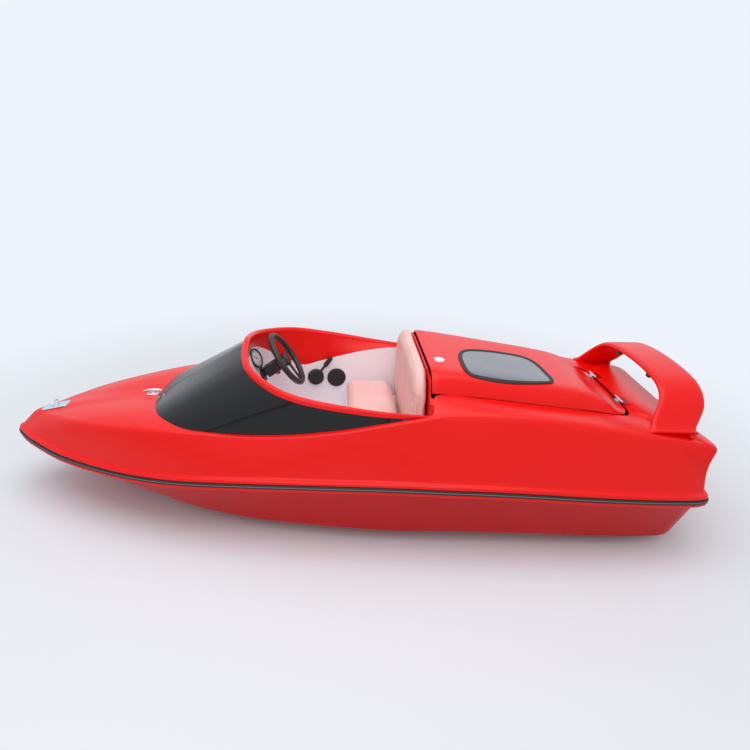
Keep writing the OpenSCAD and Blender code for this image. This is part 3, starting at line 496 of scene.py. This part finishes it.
# painted shade: a darker red than the deck's gelcoat, standing in for the shade on the hull below the lip
hull_painted_shade_red = make_finish("hull_painted_shade_red", (184, 4, 7), (194, 8, 10), 0.3, 3.0, 90.0, 0.03,
                       Specular_IOR_Level=0.25, Coat_Weight=0.1, Coat_Roughness=0.06)
points, faces = wall_mesh(hull_grid[:, :LIP_END + 1], SHELL_THICK, wrap=True, flip=True)
add_piece("hull_lip", points, faces, "boat", "gelcoat_red")
points, faces = wall_mesh(hull_grid[:, LIP_END:], SHELL_THICK, wrap=True, flip=True,
                          keep=~jet_hole[:, LIP_END:])
add_piece("hull_skin", points, faces, "boat", "gelcoat_red", ["hull_shell", "transom_panel"], finish=hull_painted_shade_red)

# %% [markdown]
# ## Rubber strip
# The strip is an extrusion pushed between the two lips: a black body with rounded edges, two grooves, and a
# lighter bead let into its middle. It is a profile carried along the rail.

# %% Rubber strip
# columns: out from the rail, up
STRIP = np.array([[-20, -9.4], [-8, -9.4], [0.5, -9.4], [3.4, -8.2], [4.8, -6.2], [4.8, -4.4],
                  [3.4, -3.6], [3.4, -2.6], [3.4, 2.6], [3.4, 3.6], [4.8, 4.4], [4.8, 6.2],
                  [3.4, 8.2], [0.5, 9.4], [-8, 9.4], [-20, 9.4]])
BEAD = np.array([[2.6, -2.4], [4.4, -2.2], [5.3, -1.2], [5.5, 0], [5.3, 1.2], [4.4, 2.2], [2.6, 2.4]])


def along_rail(profile):
    """Profile points set out from the rail line: rail + out * n + up * z, on both sides of the boat."""
    half = rail[:, None] + profile[None, :, :1] * rail_out[:, None] + profile[None, :, 1:] * Z
    return sweep_mesh(both_sides(half), wrap=True)


add_piece("rail_rubber", *along_rail(STRIP), "boat", "rubber_black", ["rub_strip"], crease=50)
bead_grey = make_finish("bead_grey", (104, 100, 98), (128, 122, 118), 0.4, 30.0, 800.0, 0.15)
add_piece("rail_bead", *along_rail(BEAD), "boat", "rubber_black", finish=bead_grey, crease=60)

# %% [markdown]
# ## Cockpit: screen, rim and liner
# The dark screen rises straight from the deck edge to a red rolled rim, which turns over and runs down inside
# as a red wall. Below it lies the white tub. All of them follow one set of stations round the cockpit, from
# the middle of the front to the seat back on each side.

# %% Stations of the cockpit
# rim crest, joint with the tub, tub at the floor
COCKPIT = np.array([
    [[455, 0, 816], [470, 0, 700], [600, 0, 128]], [[454, 70, 806], [469, 68, 697], [597, 70, 128]],
    [[450, 130, 796], [463, 126, 708], [588, 130, 128]], [[441, 185, 787], [451, 184, 702], [568, 188, 128]],
    [[424, 245, 776], [429, 243, 682], [533, 242, 128]], [[388, 308, 763], [392, 299, 646], [478, 288, 128]],
    [[338, 370, 750], [340, 351, 596], [398, 328, 128]], [[270, 428, 735], [270, 396, 550], [300, 362, 128]],
    [[195, 462, 720], [198, 422, 515], [210, 385, 128]], [[100, 478, 703], [100, 437, 537], [100, 398, 128]],
    [[-20, 485, 684], [-20, 442, 570], [-20, 404, 128]], [[-160, 482, 662], [-160, 441, 604], [-160, 404, 128]],
    [[-290, 471, 646], [-290, 439, 622], [-290, 404, 128]],
    [[-384, 463, 637], [-384, 437, 619], [-384, 404, 128]]], float)
ROLL_SIZE = np.array([1.0] * 10 + [0.95, 0.85, 0.65, 0.45])
ROLL_OUT = 14.5
C = np.linspace(0, len(COCKPIT) - 1, 105)
rim, joint, foot = (curve(COCKPIT[:, k], C, False) for k in range(3))
roll = curve(ROLL_SIZE, C, False)[:, None]
rim_out = outward(rim, False)

# %% Screen
SCREEN_END = 12.0  # the station where the screen has run out into the deck
SCREEN_THICK, THICK_FOR_HEIGHT, FOOT_GAP = 6.0, 0.4, 1.5
screen_rows = C <= SCREEN_END
low = curve(GUIDE[:, 2], C)[screen_rows]
top = (rim + rim_out * ROLL_OUT * roll - Z * (25.9 * roll + 0.3))[screen_rows]
rise = top - low
height = np.linalg.norm(rise, axis=1, keepdims=True)
low = low + rise / height * FOOT_GAP
screen_half = low[:, None] + (top - low)[:, None] * np.linspace(0, 1, 21)[None, :, None]
thin = np.minimum(SCREEN_THICK, THICK_FOR_HEIGHT * height[:, 0])
points, faces = wall_mesh(open_run(screen_half), np.concatenate([thin[:0:-1], thin]))
add_piece("screen_skin", points, faces, "boat", "screen_black", ["windscreen"])

# %% Rolled rim and red inner wall
out_step, up_step = rim_out * roll, Z * roll
rim_section = rounded(
    [rim + out_step * ROLL_OUT - up_step * 24.6, rim + out_step * 14 - up_step * 8,
     rim + out_step * 7 + up_step * 0.5, rim - out_step * 8 + up_step * 0.2,
     rim - out_step * 16.5 - up_step * 8, rim - out_step * 18 - up_step * 22,
     joint + Z * 0.3, joint + rim_out * 6 + Z * 0.3,
     rim - out_step * 8 - up_step * 26, rim + out_step * 6 - up_step * 26],
    [0, 9, 8, 9, 8, 10, 1, 1, 4, 0], steps=4, fill=2)
points, faces = sweep_mesh(open_run(rim_section))
add_piece("rim_roll", points, faces, "boat", "gelcoat_red", ["cockpit_coaming"])

# %% White tub and floor
TUB_THICK, TUB_LEDGE, TUB_MIDDLE = 4.5, 46, (100, 0, 0)
FLOOR_LAP, FLOOR_DROP = 1.005, 0.3  # the floor laps into the ledge round it, a touch lower
inward = (np.array(TUB_MIDDLE) - foot) * [1, 1, 0]
inward = inward / np.linalg.norm(inward, axis=1, keepdims=True)
tub_half = rounded([joint, (joint + foot) / 2, foot, foot + inward * TUB_LEDGE], [0, 60, 34, 0],
                   steps=7, fill=5)
wall_part = wall_mesh(open_run(tub_half), TUB_THICK)
floor_edge = tub_half[:, -1]
across = np.linspace(-FLOOR_LAP, FLOOR_LAP, 25)[None, :, None]
floor_grid = floor_edge[:, None] * [1, 0, 1] + floor_edge[:, None] * [0, 1, 0] * across
floor_part = wall_mesh(floor_grid[1:] - Z * FLOOR_DROP, TUB_THICK, flip=True)
points, faces = joined([wall_part, floor_part])
add_piece("white_tub", points, faces, "boat", "liner_white", ["cockpit_liner"])

# %% [markdown]
# ## Engine hatch
# The hood is a flat crown that turns down steeply to its dark seam, as a moulded lid does: across it the height
# is seam + rise * (1 - |v|^14), with v from -1 to 1.

# %% Engine hatch
# X, half width, seam height, rise
LID = np.array([
    [-398, 355, 694, 86], [-425, 357, 692, 88], [-500, 355, 685, 86.5], [-600, 350, 676, 81.3],
    [-720, 344, 661, 79.3], [-850, 337, 643, 78.8], [-960, 330, 627, 79.2], [-1080, 321, 611, 76],
    [-1150, 315, 602, 66], [-1200, 311, 593, 54], [-1236, 306, 586, 36], [-1266, 300, 580, 18],
    [-1296, 286, 577, 7], [-1316, 248, 577, 6.5]], float)
HOOD_POWER, HOOD_THICK = 14, 6.0
stations = np.linspace(0, len(LID) - 1, 105)
x, half_w, seam, hood_rise = (np.interp(stations, np.arange(len(LID)), LID[:, k])[:, None] for k in range(4))
v = np.sin(np.linspace(-np.pi / 2, np.pi / 2, 121))
lid_grid = np.stack(np.broadcast_arrays(x, half_w * v, seam + hood_rise * (1 - np.abs(v) ** HOOD_POWER)), 2)
points, faces = wall_mesh(lid_grid, HOOD_THICK, flip=True)
add_piece("hood_skin", points, faces, "hatch", "gelcoat_red", ["hatch_lid"])

# %% [markdown]
# ## Hatch window
# A smoked pane lies on the hood in a rubber gasket. Its outline is a closed spline through a few corners. The
# pane is a fan of rings that shrink to the middle, above and below, and the gasket a half-round carried along
# the outline.
# Both take their height from the hood, so they bend with it.

# %% Hatch window
# corners of the pane: X, Y
WINDOW = np.array([[-573, 62], [-612, -22], [-695, -62], [-806, -78], [-908, -66], [-955, -4], [-968, 107],
                   [-964, 226], [-900, 262], [-829, 281], [-755, 294], [-686, 298], [-612, 296], [-572, 280],
                   [-562, 208]], float)


def hood_z(px, py):
    """Height of the hood at a place: seam + rise * (1 - |y / half width|^power), read between the stations."""
    w, base_z, climb = (np.interp(-px, -LID[:, 0], LID[:, k]) for k in (1, 2, 3))
    return base_z + climb * (1 - np.abs(py / w) ** HOOD_POWER)


def closed_spline(corners, count):
    """Catmull-Rom through corners that join up end to end, at count even places."""
    u = np.linspace(0, len(corners), count, endpoint=False)
    k, n = u.astype(int), len(corners)
    t = (u - k)[:, None]
    return catmull_rom(*(corners[(k + j) % n] for j in (-1, 0, 1, 2)), t)


def on_hood(places, lift):
    """Places in plan with their height above the hood added: hood + lift."""
    return np.concatenate([places, (hood_z(places[..., 0], places[..., 1]) + lift)[..., None]], 2)


PANE_UNDER, PANE_EDGE, PANE_CROWN = 0.8, 3.2, 1.6
SEAL_REACH, SEAL_OVER, SEAL_UNDER = 9.5, 5.2, 2.4
edge = closed_spline(WINDOW, 120)
middle = edge.mean(0)
shrink = np.linspace(1, 0.04, 15)[:, None, None]
pane_xy = middle + (edge - middle) * shrink
over = on_hood(pane_xy, PANE_EDGE + PANE_CROWN * (1 - shrink[..., 0] ** 4))
pane = np.concatenate([on_hood(pane_xy, PANE_UNDER)[::-1], over])
add_piece("window_pane", *sweep_mesh(pane), "hatch", "window_grey", ["hatch_window"])

way = np.roll(edge, -1, 0) - np.roll(edge, 1, 0)
way /= np.linalg.norm(way, axis=1, keepdims=True)
beside = np.stack([way[:, 1], -way[:, 0]], 1)
bend = np.linspace(0, 2 * np.pi, 18, endpoint=False)
reach_out = SEAL_REACH * signed_power(np.cos(bend), 0.8)
rise_up = np.where(np.sin(bend) > 0, SEAL_OVER, SEAL_UNDER) * np.sin(bend) + PANE_EDGE
seal = on_hood(edge[:, None] + beside[:, None] * reach_out[None, :, None], rise_up[None])
add_piece("window_seal", *sweep_mesh(seal, wrap=True), "hatch", "rubber_black", ["hatch_gasket"])

# %% [markdown]
# ## Stern arch
# The arch is a moulding with a flat, wide section whose corners are well rounded. Its section is a superellipse
# that is carried up one side, over the middle and down the other, and flares out into the deck at both feet.

# %% Stern arch
# Y, Z, middle in X, width along X
ARCH = np.array([
    [436, 562, -1437, 186], [412, 588, -1450, 200], [391, 616, -1467, 206], [366, 652, -1488, 204],
    [335, 684, -1501, 195], [292, 711, -1508, 189], [225, 731, -1511, 186], [115, 743, -1512, 184],
    [0, 747, -1512, 184]], float)
ARCH_HALF_THICK, FOOT_WIDER, FOOT_THICKER, FOOT_RUN, FOOT_SINK = 15, 34, 11, 0.9, 6
s = np.linspace(0, len(ARCH) - 1, 65)
arch_y, arch_z, arch_x, arch_w = (curve(ARCH[:, k], s, False) for k in range(4))
line = np.stack([arch_x, arch_y, arch_z], 1)
tangent = np.gradient(line, axis=0) * [0, 1, 1]
tangent[-1] = [0, -1, 0]
tangent /= np.linalg.norm(tangent, axis=1, keepdims=True)
normal = np.stack([0 * s, tangent[:, 2], -tangent[:, 1]], 1)
ang = np.linspace(0, 2 * np.pi, 56, endpoint=False)[None, :, None]
flare = np.clip(1 - s / FOOT_RUN, 0, 1)[:, None, None] ** 2
half_wide = (arch_w[:, None, None] + FOOT_WIDER * flare) / 2
half_thick = ARCH_HALF_THICK + FOOT_THICKER * flare
line[0, 2] -= FOOT_SINK
arch_half = (line[:, None] + signed_power(np.cos(ang), 2 / 7) * half_wide * np.array([1, 0, 0])
             + signed_power(np.sin(ang), 2 / 2.6) * half_thick * normal[:, None])
arch_rows = np.concatenate([arch_half, arch_half[-2::-1] * [1, -1, 1]])
points, faces = sweep_mesh(arch_rows, flip=True)
add_piece("stern_roll_bar", points, faces, "boat", "gelcoat_red", ["stern_arch"])

# %% [markdown]
# ## Rear wall
# Behind the seat a red wall closes the engine bay. Its outline follows the tub below and the end of the
# hatch above, so it is a grid of heights and places across, each row as wide as the wall is at that height.

# %% Rear wall
# height, half width
WALL = np.array([[123, 408], [400, 427], [560, 436], [622, 432], [660, 396], [692, 354], [725, 346], [748, 332],
                 [760, 310], [765, 270]], float)
WALL_X, WALL_EASE, WALL_THICK, SHELF_THICK = -384.8, 2.0, 7.5, 3.0
wall_z = np.interp(np.linspace(0, len(WALL) - 1, 73), np.arange(len(WALL)), WALL[:, 0])[:, None]
wall_w = np.interp(wall_z, WALL[:, 0], WALL[:, 1])
spread = np.sin(np.linspace(-np.pi / 2, np.pi / 2, 49))
wall_x = WALL_X - WALL_EASE * np.abs(spread) ** 24
wall_grid = np.stack(np.broadcast_arrays(wall_x, wall_w * spread, wall_z), 2)
# edge of the wall and edge of the deck beside it, bridged by a small shelf on each side
WALL_EDGE = np.array([[-388, 434, 600], [-388, 432, 622], [-388, 396, 660], [-388, 368, 681]], float)
DECK_SIDE = np.array([[-384, 458, 624], [-386, 454, 638], [-402, 414, 663], [-414, 388, 676]], float)
shelf = WALL_EDGE[:, None] + (DECK_SIDE - WALL_EDGE)[:, None] * np.linspace(0, 1, 6)[None, :, None]
points, faces = joined([wall_mesh(wall_grid, WALL_THICK, flip=True), wall_mesh(shelf, SHELF_THICK, flip=True),
                        wall_mesh(shelf * [1, -1, 1], SHELF_THICK)])
add_piece("rear_wall", points, faces, "boat", "gelcoat_red", ["engine_bulkhead"])

# %% [markdown]
# ## Seats
# The bench has a seat pad and a tall back, foam under stretched vinyl. Each starts as a rounded box whose
# section is a superellipse, gets an even skin of small faces, and is blown up a little as cloth, so that
# the faces crown and the corners pull in. A cap on the movement keeps it in its place.

# %% Seat pads


NEAR_END = 0.9995  # the last section stops short of the end, where it would shrink to nothing


def pillow(low, high, along=9.0, section=6.0):
    """Closed rounded box between two corners: superellipse sections carried along Y, shrinking to both ends."""
    low, high = np.array(low, float), np.array(high, float)
    centre, half = (low + high) / 2, (high - low) / 2
    t = np.sin(np.linspace(-np.pi / 2, np.pi / 2, 41)) * NEAR_END
    shrink = (1 - np.abs(t) ** along) ** (1 / along)
    a = np.linspace(0, 2 * np.pi, 48, endpoint=False)
    x = centre[0] + half[0] * shrink[:, None] * signed_power(np.cos(a), 2 / section)
    z = centre[2] + half[2] * shrink[:, None] * signed_power(np.sin(a), 2 / section)
    return sweep_mesh(np.stack(np.broadcast_arrays(x, centre[1] + half[1] * t[:, None], z), 2), flip=True)


VOXEL, MOST_MOVE, PRESSURE, CLOTH_FRAMES = 0.006, 0.010, 4.0, 20


def blow_up(piece, voxel, cap, pressure):
    """Remesh evenly, run cloth with pressure inside and no gravity, and leave a plain mesh whose points have
    moved by cap at most."""
    def apply(modifier):
        with bpy.context.temp_override(object=piece, active_object=piece, selected_objects=[piece]):
            bpy.ops.object.modifier_apply(modifier=modifier.name)

    remesh = piece.modifiers.new("even_skin", "REMESH")
    remesh.mode, remesh.voxel_size = "VOXEL", voxel
    bpy.context.view_layer.objects.active = piece
    apply(remesh)
    count = len(piece.data.vertices)
    before = np.empty(count * 3)
    piece.data.vertices.foreach_get("co", before)
    cloth = piece.modifiers.new("stretch", "CLOTH")
    cloth.settings.use_pressure = True
    cloth.settings.uniform_pressure_force = pressure
    cloth.settings.effector_weights.gravity = 0
    scene = bpy.context.scene
    for step in range(1, CLOTH_FRAMES + 1):
        scene.frame_set(step)
    shaped = piece.evaluated_get(bpy.context.evaluated_depsgraph_get()).to_mesh()
    after = np.empty(count * 3)
    shaped.vertices.foreach_get("co", after)
    piece.modifiers.remove(cloth)
    scene.frame_set(1)
    move = (after - before).reshape(-1, 3)
    far = np.linalg.norm(move, axis=1, keepdims=True)
    move *= np.minimum(1, cap / np.maximum(far, 1e-9))
    piece.data.vertices.foreach_set("co", (before.reshape(-1, 3) + move).ravel())
    piece.data.update()
    piece.data.polygons.foreach_set("use_smooth", np.ones(len(piece.data.polygons), bool))
    print(f"{piece.name}: moved {far.mean() * 1000:.1f} mm on average, capped at {cap * 1000:.0f}")


seat_pad = add_piece("seat_pad", *pillow((-303, -380, 357), (-37, 380, 455)), "boat", "seat_vinyl",
                     ["seat_cushion"], crease=180)
rest_rows, rest_faces = pillow((-369, -386, 358), (-320, 386, 795))
narrow = np.interp(rest_rows[..., 2], [600, 650, 710, 755, 795], [1, 0.985, 0.95, 0.9, 0.84])
LEAN_FROM, LEAN_BY = 720, 0.1
rest_rows[..., 0] -= LEAN_BY * np.maximum(rest_rows[..., 2] - LEAN_FROM, 0)
rest_rows[..., 1] *= narrow
seat_rest = add_piece("seat_rest", rest_rows, rest_faces, "boat", "seat_vinyl", ["seat_back"], crease=180)
for pad_piece in (seat_pad, seat_rest):
    blow_up(pad_piece, VOXEL, MOST_MOVE, PRESSURE)

# %% [markdown]
# ## Helm
# The wheel has a soft tube rim, three flat spokes with a waist, and a round hub. The tube is a circle carried
# round a circle, with shallow finger hollows on the side away from the driver.

# %% Steering wheel
TILT = math.radians(34.5)
WHEEL_AT = np.array([275, -165, 647.0])
helm_x = np.array([math.sin(TILT), 0, math.cos(TILT)])
helm_y = np.array([0, 1.0, 0])
helm_z = np.array([-math.cos(TILT), 0, math.sin(TILT)])


def helm(points):
    """Points in the wheel's own axes, its axle along the third, set in the boat."""
    p = np.asarray(points, float)
    return WHEEL_AT + p[..., :1] * helm_x + p[..., 1:2] * helm_y + p[..., 2:] * helm_z


def spun(profile, turns=64):
    """Rows of (radius, height) turned about the third axis: (r cos a, r sin a, height)."""
    a = np.linspace(0, 2 * np.pi, turns, endpoint=False)
    p = np.asarray(profile, float)
    return np.stack(np.broadcast_arrays(p[:, :1] * np.cos(a), p[:, :1] * np.sin(a), p[:, 1:]), 2)


def turned_solid(profile, turns=64):
    """A closed solid of revolution from rows that start and end close to the axis."""
    return sweep_mesh(spun(profile, turns), flip=True)


RIM_R, GRIP_R, HOLLOW, HOLLOWS = 139, 15.6, 1.0, 16
SPOKES_AT, SPOKE_FROM, SPOKE_TO = (80, 180, 280), 22, 137
SPOKE_HALF, SPOKE_WAIST, SPOKE_THICK, SPOKE_MIDDLE = 17, 3.5, 8.4, -4.6
HUB = [[0.5, -25.6], [30, -25.6], [34, -22], [36, -10], [36, 0], [34, 4.5], [28, 7], [12, 7.8], [0.5, 8]]
round_a = np.linspace(0, 2 * np.pi, 160, endpoint=False)[:, None]
tube_a = np.linspace(0, 2 * np.pi, 28, endpoint=False)[None, :]
grip = GRIP_R - HOLLOW * (0.5 - 0.5 * np.cos(HOLLOWS * round_a)) * np.clip(-np.sin(tube_a), 0, 1)
ring_r = RIM_R + grip * np.cos(tube_a)
rim_grid = np.stack(np.broadcast_arrays(
    ring_r * np.cos(round_a), ring_r * np.sin(round_a), grip * np.sin(tube_a)), 2)
wheel_parts = [sweep_mesh(helm(rim_grid), wrap=True)]
run = np.linspace(0, 1, 15)[:, None]
edge_a = np.linspace(0, 2 * np.pi, 24, endpoint=False)[None, :]
along = SPOKE_FROM + (SPOKE_TO - SPOKE_FROM) * run
wide = (SPOKE_HALF - SPOKE_WAIST * np.sin(np.pi * run)) * signed_power(np.cos(edge_a), 0.5)
spoke_z = SPOKE_MIDDLE + SPOKE_THICK / 2 * signed_power(np.sin(edge_a), 0.6)
for degrees in SPOKES_AT:
    c, sn = math.cos(math.radians(degrees)), math.sin(math.radians(degrees))
    spoke = np.stack(np.broadcast_arrays(along * c - wide * sn, along * sn + wide * c, spoke_z), 2)
    wheel_parts.append(sweep_mesh(helm(spoke), flip=True))
hub_grid, hub_faces = turned_solid(HUB)
wheel_parts.append((helm(hub_grid), hub_faces))
points, faces = joined(wheel_parts)
add_piece("helm_wheel", points, faces, "steering", "black_plastic", ["steering_wheel"])

# %% [markdown]
# ## Gauge and wall fittings
# The gauge has a pale dial with a ring of marks and an orange pointer inside a rounded bezel. On the tub wall
# sit the boss of the throttle lever, with three screws, and a round service plate. All are turned shapes, so a
# short profile spun about an axis gives each; the marks are bars set out round the same axis.

# %% Turned fittings


def axes_along(direction):
    """Three unit directions with the last one along the given direction and the first one level."""
    z = np.asarray(direction, float) / np.linalg.norm(direction)
    x = np.cross(Z, z)
    x /= np.linalg.norm(x)
    return np.stack([x, np.cross(z, x), z])


def placed(points, at, axes):
    """Points in local axes set in the boat: at + x * first + y * second + z * third."""
    return np.asarray(at, float) + np.asarray(points, float) @ axes


def bars(angles, inner, outer, half_w, low, high):
    """Flat bars that point away from an axis, one row per angle: corners at both radii, sides and heights."""
    a = np.atleast_1d(np.asarray(angles, float))[:, None]
    r = np.array([inner, outer, outer, inner] * 2)[None]
    side = np.array([-1, -1, 1, 1] * 2)[None] * np.reshape(half_w, (-1, 1))
    height = np.array([low] * 4 + [high] * 4)[None]
    x, y = r * np.cos(a) - side * np.sin(a), r * np.sin(a) + side * np.cos(a)
    grid = np.stack(np.broadcast_arrays(x, y, height), 2)
    cell = np.array([[3, 2, 1, 0], [4, 5, 6, 7], [0, 1, 5, 4], [1, 2, 6, 5], [2, 3, 7, 6], [3, 0, 4, 7]])
    return grid.reshape(-1, 3), (cell[None] + 8 * np.arange(len(a))[:, None, None]).reshape(-1, 4).tolist()


def dome(radius, height, at, turns):
    """A low screw head: rings whose radius falls as the cosine while the height climbs as the sine."""
    a = np.linspace(0, np.pi / 2 * 0.97, 5)
    profile = np.stack([np.append(radius, radius * np.cos(a)), np.append(-1, height * np.sin(a))], 1)
    grid, faces = turned_solid(profile, turns)
    return grid + np.asarray(at, float), faces


# %% Gauge
GAUGE_AT, gauge_axes = (428, -117, 665), axes_along((-0.85, 0.26, 0.46))
DIAL = [[0.5, 0.4], [42.5, 0.4], [43, 0.9], [42.5, 1.5], [0.5, 1.6]]
PIVOT = [[0.5, 1.5], [6, 1.5], [6, 3.6], [5, 4.4], [0.5, 4.6]]
BEZEL = [[52, 0.3], [52.4, 1.5], [51.6, 4.2], [49, 6], [46, 6], [43.8, 4], [43.4, 0.3]]
MARKS, LONG_EVERY, MARK_HALF, LONG_HALF, POINTER_AT = 25, 4, 0.6, 1.3, 2.5
dial_pale = make_finish("dial_pale", (176, 176, 182), (206, 206, 212), 0.3, 30.0, 500.0, 0.05,
                        Coat_Weight=0.8, Coat_Roughness=0.03)
mark_dark = make_finish("mark_dark", (24, 24, 28), (36, 36, 40), 0.4, 60.0, 900.0, 0.1)
pointer_orange = make_finish("pointer_orange", (232, 84, 24), (244, 104, 36), 0.4, 60.0, 900.0, 0.1)
grid, faces = turned_solid(DIAL)
add_piece("gauge_dial", placed(grid, GAUGE_AT, gauge_axes), faces, "boat", "gauge_glass", ["gauge_lens"],
          finish=dial_pale)
ticks = np.radians(np.linspace(-45, 225, MARKS))
mark_half = np.where(np.arange(MARKS) % LONG_EVERY == 0, LONG_HALF, MARK_HALF)
grid, faces = bars(ticks, 32, 39.5, mark_half, 1.5, 2.0)
add_piece("gauge_marks", placed(grid, GAUGE_AT, gauge_axes), faces, "boat", "black_plastic", finish=mark_dark)
points, faces = joined([bars([POINTER_AT], -9, 33, 1.5, 2.2, 3.2), turned_solid(PIVOT, 24)])
add_piece("gauge_pointer", placed(points, GAUGE_AT, gauge_axes), faces, "boat", "switch_red",
          finish=pointer_orange)
grid, faces = sweep_mesh(spun(BEZEL), wrap=True, flip=True)
add_piece("gauge_bezel", placed(grid, GAUGE_AT, gauge_axes), faces, "boat", "black_plastic")

# %% Lever boss and service plate
wall_axes = axes_along((-0.092, 0.991, 0.092))


def on_wall(points, solid, depth):
    """Points set on a solid's foot on the wall: the middle of its box less half its depth along the normal."""
    foot_at = np.array(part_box(solid)).mean(0) / MM - wall_axes[2] * depth / 2
    return placed(points, foot_at, wall_axes)


BOSS = [[0.5, 0], [44, 0], [46, 1.5], [46, 12.5], [44.5, 15.5], [40, 17], [24, 17.4], [0.5, 17.5]]
PLATE = [[0.5, 0], [52, 0], [53, 1], [53, 5], [51.5, 7], [47.5, 8], [44.5, 8], [43.5, 6.8], [41.5, 6.8],
         [40.5, 8], [20, 8.3], [0.5, 8.4]]
BOSS_DEPTH, PLATE_DEPTH, SCREW_RING, SCREWS_AT = 18, 8, 35, (200, 270, 340)
screws = [dome(4.2, 2.6, (SCREW_RING * math.cos(a), SCREW_RING * math.sin(a), 17), 20)
          for a in np.radians(SCREWS_AT)]
points, faces = joined([turned_solid(BOSS)] + screws)
add_piece("lever_boss", on_wall(points, "control_base", BOSS_DEPTH), faces, "boat", "black_plastic",
          ["control_base"])
grid, faces = turned_solid(PLATE)
add_piece("service_plate", on_wall(grid, "access_plate", PLATE_DEPTH), faces, "boat", "black_plastic",
          ["access_plate"])

# %% [markdown]
# ## Deck fittings
# A polished cleat and a grab handle sit on the foredeck. The cleat's horns are one bar that thins and droops
# towards both ends; the handle is a tube bent over a rounded plate that still wears a pale blue film.

# %% Cleat and handle


def tilted(at, degrees):
    """A placing in a frame turned about the boat's cross axis: x runs forward and down by that angle."""
    a = math.radians(degrees)
    axes = np.array([[math.cos(a), 0, -math.sin(a)], [0, 1, 0], [math.sin(a), 0, math.cos(a)]])
    return np.asarray(at, float), axes


def tube(path, radius, turns=20):
    """A round bar along a path: circles square to its tangent, of one radius or one for each point."""
    path = np.asarray(path, float)
    t = np.gradient(path, axis=0)
    t /= np.linalg.norm(t, axis=1, keepdims=True)
    side = np.cross(t, np.where(np.abs(t[:, 1:2]).max() > 0.5, [1.0, 0, 0], [0, 1.0, 0]))
    side /= np.linalg.norm(side, axis=1, keepdims=True)
    other = np.cross(t, side)
    a = np.linspace(0, 2 * np.pi, turns, endpoint=False)[None, :, None]
    r = np.broadcast_to(radius, (len(path),))[:, None, None]
    return sweep_mesh(path[:, None] + r * (np.cos(a) * side[:, None] + np.sin(a) * other[:, None]), flip=True)


def soft_plate(half_x, half_y, low, high, power=5.0, turns=72):
    """A plate with rounded corners: superellipse rings that step in over a small rounded edge."""
    a = np.linspace(0, 2 * np.pi, turns, endpoint=False)
    x, y = signed_power(np.cos(a), 2 / power), signed_power(np.sin(a), 2 / power)
    inset = np.array([0, 0, 0.5, 1.6, 6])[:, None]
    z = np.array([low, high - 1.6, high - 0.6, high, high + 0.1])[:, None]
    grid = np.stack(np.broadcast_arrays((half_x - inset) * x, (half_y - inset) * y, z), 2)
    return sweep_mesh(grid, flip=True)


HORN_HALF, HORN_Z, HORN_DROOP, HORN_R, HORN_THINS = 47, 22, 7, 7, 3.6
POST_X, POST_Z, POST_R = 14, (4.0, 9.0, 14.0, 19.0), np.array([7, 5.6, 5.2, 6])
w = np.linspace(-1, 1, 33)
horns = np.stack([HORN_HALF * w, 0 * w, HORN_Z - HORN_DROOP * w**4], 1)
posts = [tube([[side * POST_X, 0, z] for z in POST_Z], POST_R) for side in (-1, 1)]
horn_bar = tube(horns, HORN_R - HORN_THINS * np.abs(w) ** 1.6)
points, faces = joined([soft_plate(31, 17, 0.2, 4.5, 2.6), horn_bar] + posts)
at, axes = tilted((940, 0, 507.4), 5)
add_piece("cleat_horns", placed(points, at, axes), faces, "boat", "chrome", ["deck_cleat"])
film_blue = make_finish("film_blue", (150, 205, 226), (190, 226, 238), 0.25, 40.0, 120.0, 0.3, Coat_Weight=0.4)
at, axes = tilted((1440, 0, 433.5), 12.3)
bend = np.linspace(0, np.pi, 33)
HANDLE_HALF, HANDLE_FOOT, HANDLE_RISE, HANDLE_POWER, HANDLE_R = 27, 4, 23, 0.55, 5.6
bow_tube = np.stack([0 * bend, HANDLE_HALF * signed_power(np.cos(bend), HANDLE_POWER),
                     HANDLE_FOOT + HANDLE_RISE * np.sin(bend) ** HANDLE_POWER], 1)
points, faces = joined([soft_plate(68, 36, 0.2, 4.0), tube(bow_tube, HANDLE_R)])
add_piece("bow_grip", placed(points, at, axes), faces, "boat", "chrome", ["bow_handle"])
FILM_X = 40
film_grid, film_faces = soft_plate(24, 32, 4.0, 5.0)
points, faces = joined([(film_grid + [end * FILM_X, 0, 0], film_faces) for end in (-1, 1)])
add_piece("bow_film", placed(points, at, axes), faces, "boat", "chrome", finish=film_blue)

# %% [markdown]
# ## Jet flange bolts
# Six hexagon bolts hold the jet to the transom. Each is a six-sided turned solid on the sloping face of the
# flange.

# %% Jet flange bolts
LEAN = math.radians(16.84)
face_up = np.array([-math.sin(LEAN), 0, math.cos(LEAN)])
face_out = np.array([-math.cos(LEAN), 0, -math.sin(LEAN)])
BOLT = [[0.5, 0], [11.5, 0], [11.5, 1.6], [8, 1.6], [8, 6.4], [6.8, 7.2], [0.5, 7.3]]
FLANGE_X, FLANGE_THICK = -1532.6, 8.9
head_grid, head_faces = turned_solid(BOLT, 6)
bolts_at = [np.array([FLANGE_X, y, JET_Z]) + face_out * FLANGE_THICK + face_up * z
            for y in (-98, 98) for z in (-88, 0, 88)]
bolts = [(placed(head_grid, at, axes_along(face_out)), head_faces) for at in bolts_at]
add_piece("flange_bolts", *joined(bolts), "boat", "steel", crease=20)
